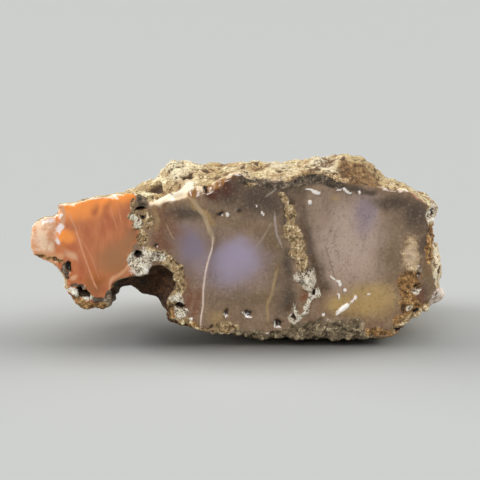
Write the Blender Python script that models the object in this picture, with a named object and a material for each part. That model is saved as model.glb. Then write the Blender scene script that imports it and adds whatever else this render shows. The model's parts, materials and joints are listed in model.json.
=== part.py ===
"""A cabinet-size piece of rough chalcedony, grown and broken as one stone.

The broken front face looks towards -Y, a thin arm reaches out to -X over an open notch,
and the brown rind wraps the top, the ends, the back and the underside.
The stone rests on a flat patch at z = 0. Millimetres until the last step, then metres.
"""
import bmesh
import bpy
import numpy as np
from mathutils import Matrix, Vector, noise

METRES = 0.001
ROUGH_VOXEL = 0.8
FINE_VOXEL = 0.62
TRIANGLES = 9800

# The stone is lofted from front to back through outlines seen from the front, as (x, z).
# Each outline has the same six runs, clockwise from the left tip, so run follows run.
RUN_STEPS = {
    "arm_top": 34,
    "body_top": 90,
    "right_end": 44,
    "base": 80,
    "arch": 40,
    "lobe": 44,
}

FACE_EDGE = {
    "arm_top": [(-57.0, 28.0), (-56.4, 33.4), (-55.2, 35.3), (-53.2, 36.2), (-49.3, 36.6),
                (-48.7, 37.8), (-49.3, 39.3), (-48.1, 40.3), (-44.7, 40.2), (-42.6, 41.0),
                (-40.5, 41.7), (-36.2, 42.2), (-32.0, 42.8), (-28.6, 43.2)],
    "body_top": [(-28.6, 43.2), (-27.6, 41.6), (-24.2, 40.2), (-21.6, 40.3), (-17.1, 41.6),
                 (-15.2, 42.6), (-13.6, 44.3), (-11.0, 44.5), (-8.9, 44.3), (-7.0, 46.2),
                 (-4.4, 47.0), (-2.6, 48.6), (-0.5, 49.0), (1.1, 47.2), (3.7, 46.4),
                 (6.0, 46.2), (8.7, 46.7), (10.8, 46.2), (13.1, 46.4), (15.2, 48.2),
                 (17.3, 48.8), (20.0, 49.0), (22.0, 48.6), (24.1, 47.4), (26.5, 45.8),
                 (29.0, 44.8), (34.0, 44.7), (37.5, 44.5), (39.4, 43.7), (42.8, 44.3),
                 (44.7, 43.2), (46.8, 41.6), (49.5, 39.8)],
    "right_end": [(49.5, 39.8), (48.6, 36.5), (50.2, 33.0), (50.6, 27.0), (50.2, 24.3),
                  (51.7, 20.0), (52.3, 16.2), (50.9, 13.5), (50.5, 10.4)],
    "base": [(50.5, 10.4), (46.2, 7.5), (44.1, 5.8), (43.4, 4.1), (42.1, 2.6), (39.4, 1.7),
             (30.9, 1.7), (26.8, 1.2), (15.9, 1.3), (10.4, 1.7), (3.6, 1.7), (-0.5, 2.3),
             (-3.8, 3.2), (-7.3, 3.3), (-12.8, 4.6), (-16.0, 5.5), (-18.2, 6.4), (-19.8, 8.4)],
    "arch": [(-19.8, 8.4), (-20.8, 11.0), (-20.0, 13.3), (-18.6, 14.8), (-17.7, 16.5),
             (-18.0, 18.5), (-19.3, 20.5), (-21.1, 21.9), (-23.3, 22.4), (-24.9, 21.6),
             (-26.0, 20.2), (-30.1, 19.3), (-32.8, 18.8), (-34.7, 17.6)],
    "lobe": [(-34.7, 17.6), (-34.8, 13.0), (-36.0, 11.2), (-38.0, 9.8), (-43.5, 10.0),
             (-44.8, 11.7), (-46.4, 13.6), (-48.0, 16.0), (-46.8, 17.3), (-48.3, 20.0),
             (-49.6, 22.1), (-51.6, 23.2), (-55.9, 25.2), (-57.0, 28.0)],
}
RIDGE = {
    "arm_top": [(-54.5, 27.0), (-53.0, 31.5), (-50.0, 33.5), (-46.0, 35.5), (-42.0, 37.0),
                (-36.0, 38.2), (-31.0, 39.3)],
    "body_top": [(-31.0, 39.3), (-25.6, 42.5), (-22.0, 44.4), (-20.1, 47.2), (-16.2, 48.0),
                 (-10.0, 47.6), (-4.6, 46.4), (1.7, 46.2), (7.6, 46.6), (12.5, 47.6),
                 (19.0, 48.8), (28.2, 49.6), (32.8, 49.0), (35.0, 45.6), (38.0, 42.2),
                 (42.1, 41.2), (46.0, 39.9), (50.4, 38.2), (53.0, 37.0)],
    "right_end": [(53.0, 37.0), (53.7, 34.5), (52.3, 30.5), (52.1, 26.0), (53.3, 22.7),
                  (55.5, 19.5), (56.0, 16.6), (54.4, 14.0), (57.4, 11.0), (55.2, 8.0),
                  (51.9, 7.0)],
    "base": [(51.9, 7.0), (48.0, 3.8), (44.0, 2.2), (38.0, 0.5), (33.0, -1.2), (4.0, -1.2),
             (-4.0, 0.8), (-10.0, 2.0), (-14.0, 2.8), (-19.0, 3.8), (-22.0, 4.8)],
    "arch": [(-22.0, 4.8), (-23.3, 7.6), (-24.6, 9.1), (-25.7, 10.6), (-28.0, 10.6),
             (-30.3, 11.2), (-32.2, 12.1), (-34.2, 12.7)],
    "lobe": [(-34.2, 12.7), (-36.0, 10.6), (-38.0, 9.4), (-41.0, 8.8), (-44.0, 11.0),
             (-46.0, 14.0), (-48.5, 18.0), (-51.0, 21.5), (-53.5, 24.0), (-54.5, 27.0)],
}
BACK = {
    "arm_top": [(-30.0, 24.0), (-29.0, 30.0), (-27.0, 35.0)],
    "body_top": [(-27.0, 35.0), (-20.0, 41.5), (-10.0, 44.0), (2.0, 43.0), (14.0, 45.0),
                 (24.0, 46.5), (32.0, 44.0), (40.0, 38.5), (48.0, 33.0)],
    "right_end": [(48.0, 33.0), (52.0, 26.0), (52.5, 18.0), (49.0, 8.5)],
    "base": [(49.0, 8.5), (44.5, 3.6), (36.0, 0.8), (30.0, -1.2), (6.0, -1.2), (-2.0, 1.0),
             (-8.0, 2.8), (-16.0, 5.5), (-20.0, 8.5)],
    "arch": [(-20.0, 8.0), (-23.0, 12.0), (-26.0, 15.0)],
    "lobe": [(-26.0, 15.0), (-29.0, 19.0), (-30.0, 24.0)],
}
REAR = {
    "arm_top": [(-16.0, 22.0), (-13.0, 31.0)],
    "body_top": [(-13.0, 31.0), (-6.0, 37.0), (8.0, 38.0), (22.0, 40.0), (33.0, 36.0),
                 (42.0, 28.0)],
    "right_end": [(42.0, 28.0), (45.0, 20.0), (42.0, 11.0)],
    "base": [(42.0, 11.0), (35.0, 5.0), (20.0, 2.5), (4.0, 2.5), (-5.0, 6.0), (-10.0, 10.0)],
    "arch": [(-10.0, 10.0), (-13.0, 13.0)],
    "lobe": [(-13.0, 13.0), (-15.5, 17.0), (-16.0, 22.0)],
}

# Depth of a ring behind the face, the two outlines it lies between, how far it is on its
# way from the first to the second, and the same for the roof of the notch.
RINGS = [
    (0.0, FACE_EDGE, RIDGE, 0.0, 0.0),
    (3.0, FACE_EDGE, RIDGE, 0.3, 0.0),
    (8.0, FACE_EDGE, RIDGE, 0.75, 0.12),
    (12.5, FACE_EDGE, RIDGE, 1.0, 0.85),
    (17.0, RIDGE, BACK, 0.06, 0.05),
    (22.0, RIDGE, BACK, 0.42, 0.42),
    (28.0, BACK, REAR, 0.0, 0.0),
    (34.0, BACK, REAR, 0.45, 0.45),
    (38.5, BACK, REAR, 1.0, 1.0),
]
CAP_DEPTH = 41.0
CAP_SHRINK = 0.72

# Shallow shell-shaped dishes where the stone broke: centre x and z, half sizes, depth.
DISHES = [
    (-41.5, 30.0, 14.0, 13.0, 1.3),
    (-16.0, 24.0, 11.0, 23.0, 2.0),
    (0.5, 24.0, 13.0, 25.0, 2.6),
    (11.0, 22.0, 8.0, 24.0, 1.7),
    (32.0, 27.0, 18.0, 23.0, 3.2),
    (46.0, 31.0, 9.0, 13.0, 1.5),
]
# Sharp crests between the dishes: the line, its height and how fast it falls away.
VEIN = [(-14.4, 43.2), (-12.4, 40.2), (-10.3, 37.2), (-9.0, 34.2), (-7.7, 30.6), (-8.0, 27.2),
        (-9.1, 23.8), (-9.9, 20.2), (-10.4, 15.9), (-10.5, 11.6), (-11.1, 7.8), (-11.4, 4.9)]
FORK = [(9.7, 45.1), (6.9, 41.8), (8.5, 37.5), (5.4, 29.2)]
FORK_RIGHT = [(8.5, 37.5), (9.6, 31.4), (11.2, 28.3)]
LOW_CREST = [(9.4, 21.0), (8.1, 14.5), (6.8, 11.3), (7.1, 7.3)]
CRUST_VEIN = [(11.3, 43.7), (11.6, 41.0), (13.0, 38.3), (12.7, 35.0), (12.4, 31.9), (14.6, 31.2),
              (15.5, 28.6), (14.6, 26.7), (15.5, 25.0), (16.7, 22.2), (17.5, 18.5), (19.0, 15.3),
              (17.1, 12.2), (16.3, 9.9), (14.2, 8.4)]
VALLEY = [(15.3, 42.4), (16.4, 36.9), (18.2, 31.4), (19.3, 25.8), (21.2, 20.2), (22.2, 15.9)]
SEAM = [(-28.6, 43.2), (-27.3, 41.0), (-26.9, 38.8), (-27.5, 36.1), (-28.1, 32.2),
        (-27.4, 28.6), (-28.3, 26.7), (-29.9, 23.8)]
TIP_SEAM = [(-49.2, 36.2), (-50.2, 33.0), (-49.4, 30.0), (-50.0, 27.0)]
CRESTS = [
    (VEIN, 1.5, 2.4),
    (FORK, 0.7, 1.4),
    (FORK_RIGHT, 0.7, 1.6),
    (LOW_CREST, 0.8, 1.6),
    (CRUST_VEIN, 1.7, 1.7),
    (VALLEY, -1.3, 2.2),
    (SEAM, -1.6, 1.8),
    (TIP_SEAM, -1.0, 1.2),
]
# Lumps of crust on the face: centre x and z, radius, height.
LUMPS = [
    (-27.8, 24.0, 3.0, 1.3), (-25.0, 25.8, 1.8, 0.9), (-26.2, 21.6, 1.8, 0.8),
    (-28.6, 33.8, 1.7, 0.9), (-52.3, 31.5, 2.6, 0.9), (-47.9, 30.0, 1.5, 0.7),
    (12.8, 36.6, 1.5, 0.7), (14.0, 31.6, 1.9, 0.8), (17.3, 20.2, 2.7, 1.7),
    (18.6, 17.4, 1.6, 0.8), (45.0, 27.4, 2.6, 0.7), (45.6, 16.5, 3.2, 0.8),
    (47.4, 15.8, 1.1, 0.7), (-17.8, 21.0, 1.6, 0.6), (-15.6, 17.0, 1.5, 0.7),
]
# Pits and vugs in the face: centre x and z, radius, depth.
PITS = [
    (-26.9, 38.6, 1.4, 2.6), (-27.6, 36.0, 1.2, 2.0), (-28.5, 26.1, 1.5, 2.6),
    (-16.8, 10.7, 1.4, 2.4), (-5.3, 37.2, 1.5, 1.0), (-0.5, 37.2, 0.9, 0.6),
    (-4.3, 8.4, 1.0, 0.8), (1.4, 8.1, 1.2, 1.0), (9.8, 5.8, 1.5, 1.6), (14.2, 8.4, 1.1, 1.6),
    (16.3, 9.9, 1.0, 1.0), (19.4, 15.2, 0.9, 2.2), (46.9, 13.4, 1.1, 1.2),
    (42.0, 4.2, 1.1, 1.4), (-46.9, 22.4, 1.4, 2.2), (49.0, 23.6, 1.1, 1.4),
]
# Pits in the rind, in space: centre x, y and z, radius, depth.
RIND_PITS = [
    (-17.2, 9.0, 48.5, 1.3, 1.8), (-12.6, 9.0, 48.3, 1.5, 1.8), (-14.0, 5.0, 46.5, 1.9, 2.0),
    (-23.5, 6.0, 43.0, 2.6, 2.2), (-5.0, 8.0, 46.5, 1.4, 1.3), (10.5, 7.0, 47.0, 1.2, 1.4),
    (21.5, 8.0, 49.0, 1.8, 1.6), (30.5, 7.5, 48.5, 1.3, 1.6), (36.5, 8.0, 45.0, 1.8, 1.6),
    (51.5, 4.0, 36.5, 1.9, 2.2), (52.0, 4.5, 29.0, 1.5, 1.8), (52.5, 5.0, 19.0, 1.6, 1.6),
    (2.0, 26.0, 43.5, 2.4, 2.2), (26.0, 30.0, 43.0, 2.8, 2.4), (-14.0, 31.0, 36.0, 2.6, 2.2),
    (14.0, 39.0, 26.0, 3.2, 2.6), (36.0, 37.0, 20.0, 2.6, 2.2), (-4.0, 37.0, 18.0, 2.8, 2.4),
    (53.0, 20.0, 24.0, 2.6, 2.2), (-40.0, 17.0, 28.0, 2.4, 1.8), (-30.0, 22.0, 20.0, 2.4, 2.0),
]
# The rind, from broad swells down to grape-like knobs: size of the pattern, height.
SWELL = (17.0, 1.5)
WAVE = (7.0, 0.8)
KNOB = (5.5, 1.0)
KNOB_REACH = 0.75
KNOB_MEAN = 0.55
GRAIN = (2.4, 0.4)
SWELL_AT_FACE = 0.6
SWELL_AT_BACK = 1.9
SWELL_GROWS_OVER = 18.0
RIND_AT_RIM = 0.35
RIND_FULL_AT = 6.5
RIND_UNDERNEATH = 0.3
RIND_FULL_ABOVE = 5.0

# The face is worn a little at its rim, and the rind far more.
RIM_START = 0.4
RIM_WEAR = 1
RIND_START = 4.0
RIND_WEAR = 8

# A surface point belongs to the face when it looks forward and lies near its plane.
FORWARD_FROM = 0.45
FORWARD_FULL = 0.85
FACE_ENDS = 2.0
FACE_FADE = 1.0
RELIEF_REACH = 6.0

LOBE_HOLE = (-43.7, 10.0, 15.0)
LOBE_HOLE_WIDE = 2.3
LOBE_HOLE_HIGH = 1.3
LOBE_HOLE_TILT = 32.0
CUTTER_LENGTH = 60.0

# The middle of the finished stone's box, which is moved over the origin.
MIDDLE = (0.2, 20.65)

STONE_COLOUR = (0.42, 0.35, 0.31, 1.0)
STONE_ROUGHNESS = 0.45


def along(points, share):
    """The point at a share of the way along a broken line."""
    spans = [(b - a).length for a, b in zip(points, points[1:])]
    left = share * sum(spans)
    for start, end, span in zip(points, points[1:], spans):
        if left <= span:
            return start.lerp(end, left / span)
        left -= span
    return points[-1]


def ring_points(first, second, blend, notch_blend):
    """Points round a ring, run by run, part of the way between two outlines."""
    points = []
    for run, steps in RUN_STEPS.items():
        start = [Vector(p) for p in first[run]]
        end = [Vector(p) for p in second[run]]
        share = notch_blend if run == "arch" else blend
        for step in range(steps):
            place = step / steps
            points.append(along(start, place).lerp(along(end, place), share))
    return points


def place_ring(verts, points, depth):
    for vert, point in zip(verts, points):
        vert.co = (point.x, depth, point.y)


def next_ring(bm, verts):
    """Extrudes a ring's edges and gives the new vertices in the old ones' order."""
    edges = [bm.edges.get(pair) for pair in zip(verts, verts[1:] + verts[:1])]
    made = bmesh.ops.extrude_edge_only(bm, edges=edges)["geom"]
    fresh = {item for item in made if isinstance(item, bmesh.types.BMVert)}
    ring = []
    for vert in verts:
        ring.append(next(e.other_vert(vert) for e in vert.link_edges
                         if e.other_vert(vert) in fresh))
    return ring


def lofted_stone():
    bm = bmesh.new()
    count = sum(RUN_STEPS.values())
    ring = bmesh.ops.create_circle(bm, cap_ends=True, segments=count, radius=1.0)["verts"]
    for index, (depth, first, second, blend, notch_blend) in enumerate(RINGS):
        if index:
            ring = next_ring(bm, ring)
        points = ring_points(first, second, blend, notch_blend)
        place_ring(ring, points, depth)
    ring = next_ring(bm, ring)
    centre = sum(points, Vector((0.0, 0.0))) / count
    place_ring(ring, [centre.lerp(p, CAP_SHRINK) for p in points], CAP_DEPTH)
    bmesh.ops.contextual_create(bm, geom=ring)
    bmesh.ops.recalc_face_normals(bm, faces=bm.faces)
    return bm


def new_object(name, bm):
    mesh = bpy.data.meshes.new(name)
    bm.to_mesh(mesh)
    bm.free()
    obj = bpy.data.objects.new(name, mesh)
    bpy.context.scene.collection.objects.link(obj)
    return obj


def settled(obj):
    """Takes an object's modifiers into its mesh."""
    graph = bpy.context.evaluated_depsgraph_get()
    mesh = bpy.data.meshes.new_from_object(obj.evaluated_get(graph))
    obj.modifiers.clear()
    obj.data = mesh


def remesh(obj, voxel):
    modifier = obj.modifiers.new("even", "REMESH")
    modifier.mode = "VOXEL"
    modifier.voxel_size = voxel
    settled(obj)


def wear(mesh, start, rounds):
    """Rounds off all that lies further back than start."""
    bm = bmesh.new()
    bm.from_mesh(mesh)
    behind = [vert for vert in bm.verts if vert.co.y > start]
    for _ in range(rounds):
        bmesh.ops.smooth_vert(bm, verts=behind, factor=0.5, use_axis_x=True,
                              use_axis_y=True, use_axis_z=True)
    bm.to_mesh(mesh)
    bm.free()


def line_distance(x, z, line):
    """Distance of each point of the face from a broken line on it."""
    nearest = np.full(len(x), np.inf)
    for (ax, az), (bx, bz) in zip(line, line[1:]):
        dx, dz = bx - ax, bz - az
        share = np.clip(((x - ax) * dx + (z - az) * dz) / (dx * dx + dz * dz), 0.0, 1.0)
        nearest = np.minimum(nearest, np.hypot(x - ax - share * dx, z - az - share * dz))
    return nearest


def face_relief(x, z):
    """How far the broken face lies behind its rim, at each x and z."""
    dish = np.zeros(len(x))
    for cx, cz, rx, rz, depth in DISHES:
        dish = np.maximum(dish, depth * (1 - ((x - cx) / rx) ** 2 - ((z - cz) / rz) ** 2))
    for line, height, width in CRESTS:
        dish -= height * np.exp(-line_distance(x, z, line) / width)
    for cx, cz, radius, height in LUMPS:
        dish -= height * np.exp(-((x - cx) ** 2 + (z - cz) ** 2) / radius ** 2)
    for cx, cz, radius, depth in PITS:
        reach = np.clip(1 - ((x - cx) ** 2 + (z - cz) ** 2) / radius ** 2, 0.0, 1.0)
        dish += depth * np.sqrt(reach)
    return dish


def rind_relief(points):
    """How far the rind stands out, from broad swells down to grape-like knobs."""
    out = []
    for p in points:
        further = min(max(SWELL_AT_FACE + p.y / SWELL_GROWS_OVER, SWELL_AT_FACE), SWELL_AT_BACK)
        swell = SWELL[1] * noise.noise(p / SWELL[0]) + WAVE[1] * noise.noise(p / WAVE[0])
        near = noise.voronoi(p / KNOB[0])[0][0]
        knob = KNOB[1] * max(0.0, 1.0 - (near / KNOB_REACH) ** 2)
        grain = GRAIN[1] * noise.noise(p / GRAIN[0])
        out.append(further * swell + knob + grain - KNOB_MEAN)
    return np.array(out)


def shape_surface(mesh):
    """Carves the face and raises the rind by moving the even mesh's vertices."""
    count = len(mesh.vertices)
    place = np.empty(count * 3, dtype=np.float32)
    normal = np.empty(count * 3, dtype=np.float32)
    mesh.vertices.foreach_get("co", place)
    mesh.vertices.foreach_get("normal", normal)
    place = place.reshape(-1, 3).astype(float)
    normal = normal.reshape(-1, 3)
    x, y, z = place.T
    forward = (-normal[:, 1] - FORWARD_FROM) / (FORWARD_FULL - FORWARD_FROM)
    facing = np.clip(forward, 0.0, 1.0) * np.clip((FACE_ENDS - y) / FACE_FADE, 0.0, 1.0)
    into = face_relief(x, z) * np.clip(1.0 - y / RELIEF_REACH, 0.0, 1.0)
    raised = rind_relief([Vector(p) for p in place])
    for cx, cy, cz, radius, depth in RIND_PITS:
        apart = (x - cx) ** 2 + (y - cy) ** 2 + (z - cz) ** 2
        raised -= depth * np.sqrt(np.clip(1 - apart / radius ** 2, 0.0, 1.0))
    grown = RIND_AT_RIM + (1.0 - RIND_AT_RIM) * y / RIND_FULL_AT
    worn = RIND_UNDERNEATH + (1.0 - RIND_UNDERNEATH) * z / RIND_FULL_ABOVE
    raised *= (1.0 - facing) * np.clip(grown, 0.0, 1.0) * np.clip(worn, RIND_UNDERNEATH, 1.0)
    place += normal * raised[:, None]
    place[:, 1] += into
    mesh.vertices.foreach_set("co", place.astype(np.float32).ravel())
    mesh.update()


def lobe_cutter():
    """A slanting, egg-shaped bar that pierces the lobe from front to back."""
    bm = bmesh.new()
    bmesh.ops.create_cone(bm, cap_ends=True, segments=16, radius1=1.0, radius2=1.0,
                          depth=CUTTER_LENGTH)
    spot = Matrix.Translation(LOBE_HOLE)
    turn = Matrix.Rotation(np.radians(LOBE_HOLE_TILT), 4, "Y")
    lay = Matrix.Rotation(np.radians(90.0), 4, "X")
    size = Matrix.Diagonal((LOBE_HOLE_WIDE, 1.0, LOBE_HOLE_HIGH, 1.0))
    bmesh.ops.transform(bm, matrix=spot @ turn @ size @ lay, verts=bm.verts)
    cutter = new_object("lobe_hole_cutter", bm)
    cutter.hide_render = True
    cutter.display_type = "WIRE"
    return cutter


def pierce(obj, cutter):
    modifier = obj.modifiers.new("hole", "BOOLEAN")
    modifier.operation = "DIFFERENCE"
    modifier.solver = "EXACT"
    modifier.object = cutter
    settled(obj)


def thin_out(obj, triangles):
    """Collapses the even mesh to a budget, which leaves most of it where the stone is rough."""
    now = sum(len(face.vertices) - 2 for face in obj.data.polygons)
    modifier = obj.modifiers.new("fewer", "DECIMATE")
    modifier.ratio = triangles / now
    modifier.use_collapse_triangulate = True
    settled(obj)


def flatten_base(mesh):
    """Cuts the worn patch that the stone rests on, flat at z = 0."""
    bm = bmesh.new()
    bm.from_mesh(mesh)
    whole = list(bm.verts) + list(bm.edges) + list(bm.faces)
    cut = bmesh.ops.bisect_plane(bm, geom=whole, plane_co=(0, 0, 0), plane_no=(0, 0, 1),
                                 clear_inner=True, dist=0.001)["geom_cut"]
    rim = [item for item in cut if isinstance(item, bmesh.types.BMEdge)]
    bmesh.ops.holes_fill(bm, edges=rim)
    bmesh.ops.triangulate(bm, faces=bm.faces)
    bmesh.ops.recalc_face_normals(bm, faces=bm.faces)
    bm.to_mesh(mesh)
    bm.free()


def stone_material():
    material = bpy.data.materials.new("chalcedony")
    material.use_nodes = True
    surface = material.node_tree.nodes["Principled BSDF"]
    surface.inputs["Base Color"].default_value = STONE_COLOUR
    surface.inputs["Roughness"].default_value = STONE_ROUGHNESS
    surface.inputs["Metallic"].default_value = 0.0
    return material


for old in list(bpy.data.objects):
    bpy.data.objects.remove(old, do_unlink=True)

stone = new_object("chalcedony", lofted_stone())
remesh(stone, ROUGH_VOXEL)
wear(stone.data, RIM_START, RIM_WEAR)
wear(stone.data, RIND_START, RIND_WEAR)
remesh(stone, FINE_VOXEL)
shape_surface(stone.data)
pierce(stone, lobe_cutter())
remesh(stone, FINE_VOXEL)
thin_out(stone, TRIANGLES)
flatten_base(stone.data)
stone.data.transform(Matrix.Translation((-MIDDLE[0], -MIDDLE[1], 0.0)))
stone.data.transform(Matrix.Scale(METRES, 4))
stone.data.materials.append(stone_material())
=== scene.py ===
# %% [markdown]
# # A rough piece of chalcedony
# The stone is one solid: a broken, glassy face, and a pitted rind round the rest of it.
# The frame holds its plain solid. This lesson makes the surface that is seen, from the same
# outlines and dishes, only finer, and then gives each part of it the colour of the real stone.

# %% Load the frame
import json
import math
import bmesh
import bpy
import numpy as np
from mathutils import Matrix, Vector, noise

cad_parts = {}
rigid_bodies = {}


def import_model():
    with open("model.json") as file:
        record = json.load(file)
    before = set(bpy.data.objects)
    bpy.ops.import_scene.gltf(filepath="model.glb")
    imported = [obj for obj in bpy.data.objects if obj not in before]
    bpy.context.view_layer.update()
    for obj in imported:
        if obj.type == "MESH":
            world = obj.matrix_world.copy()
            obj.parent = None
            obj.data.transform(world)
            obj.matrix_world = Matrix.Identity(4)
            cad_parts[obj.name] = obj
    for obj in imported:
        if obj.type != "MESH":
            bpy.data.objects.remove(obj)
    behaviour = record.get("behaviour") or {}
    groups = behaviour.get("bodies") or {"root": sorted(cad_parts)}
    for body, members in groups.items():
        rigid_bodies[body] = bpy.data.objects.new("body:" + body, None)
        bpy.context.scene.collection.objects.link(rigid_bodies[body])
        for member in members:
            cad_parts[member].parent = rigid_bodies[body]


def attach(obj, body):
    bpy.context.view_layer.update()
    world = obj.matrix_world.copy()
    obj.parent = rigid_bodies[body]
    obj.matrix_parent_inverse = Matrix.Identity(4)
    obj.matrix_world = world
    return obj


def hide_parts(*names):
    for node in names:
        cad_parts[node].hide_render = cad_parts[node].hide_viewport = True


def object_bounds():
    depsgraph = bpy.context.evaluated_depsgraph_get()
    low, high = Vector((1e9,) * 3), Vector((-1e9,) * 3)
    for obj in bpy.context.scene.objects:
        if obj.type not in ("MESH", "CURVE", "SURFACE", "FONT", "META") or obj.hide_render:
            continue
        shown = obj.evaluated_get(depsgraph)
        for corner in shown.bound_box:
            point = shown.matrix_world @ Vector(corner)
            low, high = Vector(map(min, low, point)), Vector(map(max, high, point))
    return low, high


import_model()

CAD_BOX = [list(corner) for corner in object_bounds()]
METRES = 0.001
NOISE_SEED = 3
noise.seed_set(NOISE_SEED)
print("solid's box", [[round(value / METRES, 1) for value in corner] for corner in CAD_BOX])

# %% [markdown]
# ## The outlines
# A stone like this could be sculpted from a ball, but then its edge would be a matter of luck.
# It is lofted instead, as a boat is: outlines are drawn at several depths behind the face, and
# skin is stretched from one to the next. Each outline is six runs of points, x and z in
# millimetres, clockwise from the left tip as seen from the front, so that run follows run.

# %% Runs of the face's edge and of the ridge behind it
RUN_STEPS = {
    "arm_top": 34,
    "body_top": 90,
    "right_end": 44,
    "base": 80,
    "arch": 40,
    "lobe": 44,
}
FACE_EDGE = {
    "arm_top": [(-57.0, 28.0), (-56.4, 33.4), (-55.2, 35.3), (-53.2, 36.2), (-49.3, 36.6),
                (-48.7, 37.8), (-49.3, 39.3), (-48.1, 40.3), (-44.7, 40.2), (-42.6, 41.0),
                (-40.5, 41.7), (-36.2, 42.2), (-32.0, 42.8), (-28.6, 43.2)],
    "body_top": [(-28.6, 43.2), (-27.6, 41.6), (-24.2, 40.2), (-21.6, 40.3), (-17.1, 41.6),
                 (-15.2, 42.6), (-13.6, 44.3), (-11.0, 44.5), (-8.9, 44.3), (-7.0, 46.2),
                 (-4.4, 47.0), (-2.6, 48.6), (-0.5, 49.0), (1.1, 47.2), (3.7, 46.4),
                 (6.0, 46.2), (8.7, 46.7), (10.8, 46.2), (13.1, 46.4), (15.2, 48.2),
                 (17.3, 48.8), (20.0, 49.0), (22.0, 48.6), (24.1, 47.4), (26.5, 45.8),
                 (29.0, 44.8), (34.0, 44.7), (37.5, 44.5), (39.4, 43.7), (42.8, 44.3),
                 (44.7, 43.2), (46.8, 41.6), (49.5, 39.8)],
    "right_end": [(49.5, 39.8), (48.6, 36.5), (50.2, 33.0), (50.6, 27.0), (50.2, 24.3),
                  (51.7, 20.0), (52.3, 16.2), (50.9, 13.5), (50.5, 10.4)],
    "base": [(50.5, 10.4), (46.2, 7.5), (44.1, 5.8), (43.4, 4.1), (42.1, 2.6), (39.4, 1.7),
             (30.9, 1.7), (26.8, 1.2), (15.9, 1.3), (10.4, 1.7), (3.6, 1.7), (-0.5, 2.3),
             (-3.8, 3.2), (-7.3, 3.3), (-12.8, 4.6), (-16.0, 5.5), (-18.2, 6.4), (-19.8, 8.4)],
    "arch": [(-19.8, 8.4), (-20.8, 11.0), (-20.0, 13.3), (-18.6, 14.8), (-17.7, 16.5),
             (-18.0, 18.5), (-19.3, 20.5), (-21.1, 21.9), (-23.3, 22.4), (-24.9, 21.6),
             (-26.0, 20.2), (-30.1, 19.3), (-32.8, 18.8), (-34.7, 17.6)],
    "lobe": [(-34.7, 17.6), (-34.8, 13.0), (-36.0, 11.2), (-38.0, 9.8), (-43.5, 10.0),
             (-44.8, 11.7), (-46.4, 13.6), (-48.0, 16.0), (-46.8, 17.3), (-48.3, 20.0),
             (-49.6, 22.1), (-51.6, 23.2), (-55.9, 25.2), (-57.0, 28.0)],
}
RIDGE = {
    "arm_top": [(-54.5, 27.0), (-53.0, 31.5), (-50.0, 33.5), (-46.0, 35.5), (-42.0, 37.0),
                (-36.0, 38.2), (-31.0, 39.3)],
    "body_top": [(-31.0, 39.3), (-25.6, 42.5), (-22.0, 44.4), (-20.1, 47.2), (-16.2, 48.0),
                 (-10.0, 47.6), (-4.6, 46.4), (1.7, 46.2), (7.6, 46.6), (12.5, 47.6),
                 (19.0, 48.8), (28.2, 49.6), (32.8, 49.0), (35.0, 45.6), (38.0, 42.2),
                 (42.1, 41.2), (46.0, 39.9), (50.4, 38.2), (53.0, 37.0)],
    "right_end": [(53.0, 37.0), (53.7, 34.5), (52.3, 30.5), (52.1, 26.0), (53.3, 22.7),
                  (55.5, 19.5), (56.0, 16.6), (54.4, 14.0), (57.4, 11.0), (55.2, 8.0),
                  (51.9, 7.0)],
    "base": [(51.9, 7.0), (48.0, 3.8), (44.0, 2.2), (38.0, 0.5), (33.0, -1.2), (4.0, -1.2),
             (-4.0, 0.8), (-10.0, 2.0), (-14.0, 2.8), (-19.0, 3.8), (-22.0, 4.8)],
    "arch": [(-22.0, 4.8), (-23.3, 6.4), (-24.6, 7.2), (-25.7, 8.0), (-28.0, 7.9),
             (-30.3, 8.8), (-32.2, 10.4), (-34.2, 12.2)],
    "lobe": [(-34.2, 12.7), (-36.0, 10.6), (-38.0, 9.4), (-41.0, 8.8), (-44.0, 11.0),
             (-46.0, 14.0), (-48.5, 18.0), (-51.0, 21.5), (-53.5, 24.0), (-54.5, 27.0)],
}
print("runs:", ", ".join(RUN_STEPS))

# %% Runs of the back, and the depths of the rings
BACK = {
    "arm_top": [(-30.0, 24.0), (-29.0, 30.0), (-27.0, 35.0)],
    "body_top": [(-27.0, 35.0), (-20.0, 41.5), (-10.0, 44.0), (2.0, 43.0), (14.0, 45.0),
                 (24.0, 46.5), (32.0, 44.0), (40.0, 38.5), (48.0, 33.0)],
    "right_end": [(48.0, 33.0), (52.0, 26.0), (52.5, 18.0), (49.0, 8.5)],
    "base": [(49.0, 8.5), (44.5, 3.6), (36.0, 0.8), (30.0, -1.2), (6.0, -1.2), (-2.0, 1.0),
             (-8.0, 2.8), (-16.0, 5.5), (-20.0, 8.5)],
    "arch": [(-20.0, 8.0), (-23.0, 12.0), (-26.0, 15.0)],
    "lobe": [(-26.0, 15.0), (-29.0, 19.0), (-30.0, 24.0)],
}
REAR = {
    "arm_top": [(-16.0, 22.0), (-13.0, 31.0)],
    "body_top": [(-13.0, 31.0), (-6.0, 37.0), (8.0, 38.0), (22.0, 40.0), (33.0, 36.0),
                 (42.0, 28.0)],
    "right_end": [(42.0, 28.0), (45.0, 20.0), (42.0, 11.0)],
    "base": [(42.0, 11.0), (35.0, 5.0), (20.0, 2.5), (4.0, 2.5), (-5.0, 6.0), (-10.0, 10.0)],
    "arch": [(-10.0, 10.0), (-13.0, 13.0)],
    "lobe": [(-13.0, 13.0), (-15.5, 17.0), (-16.0, 22.0)],
}
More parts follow.
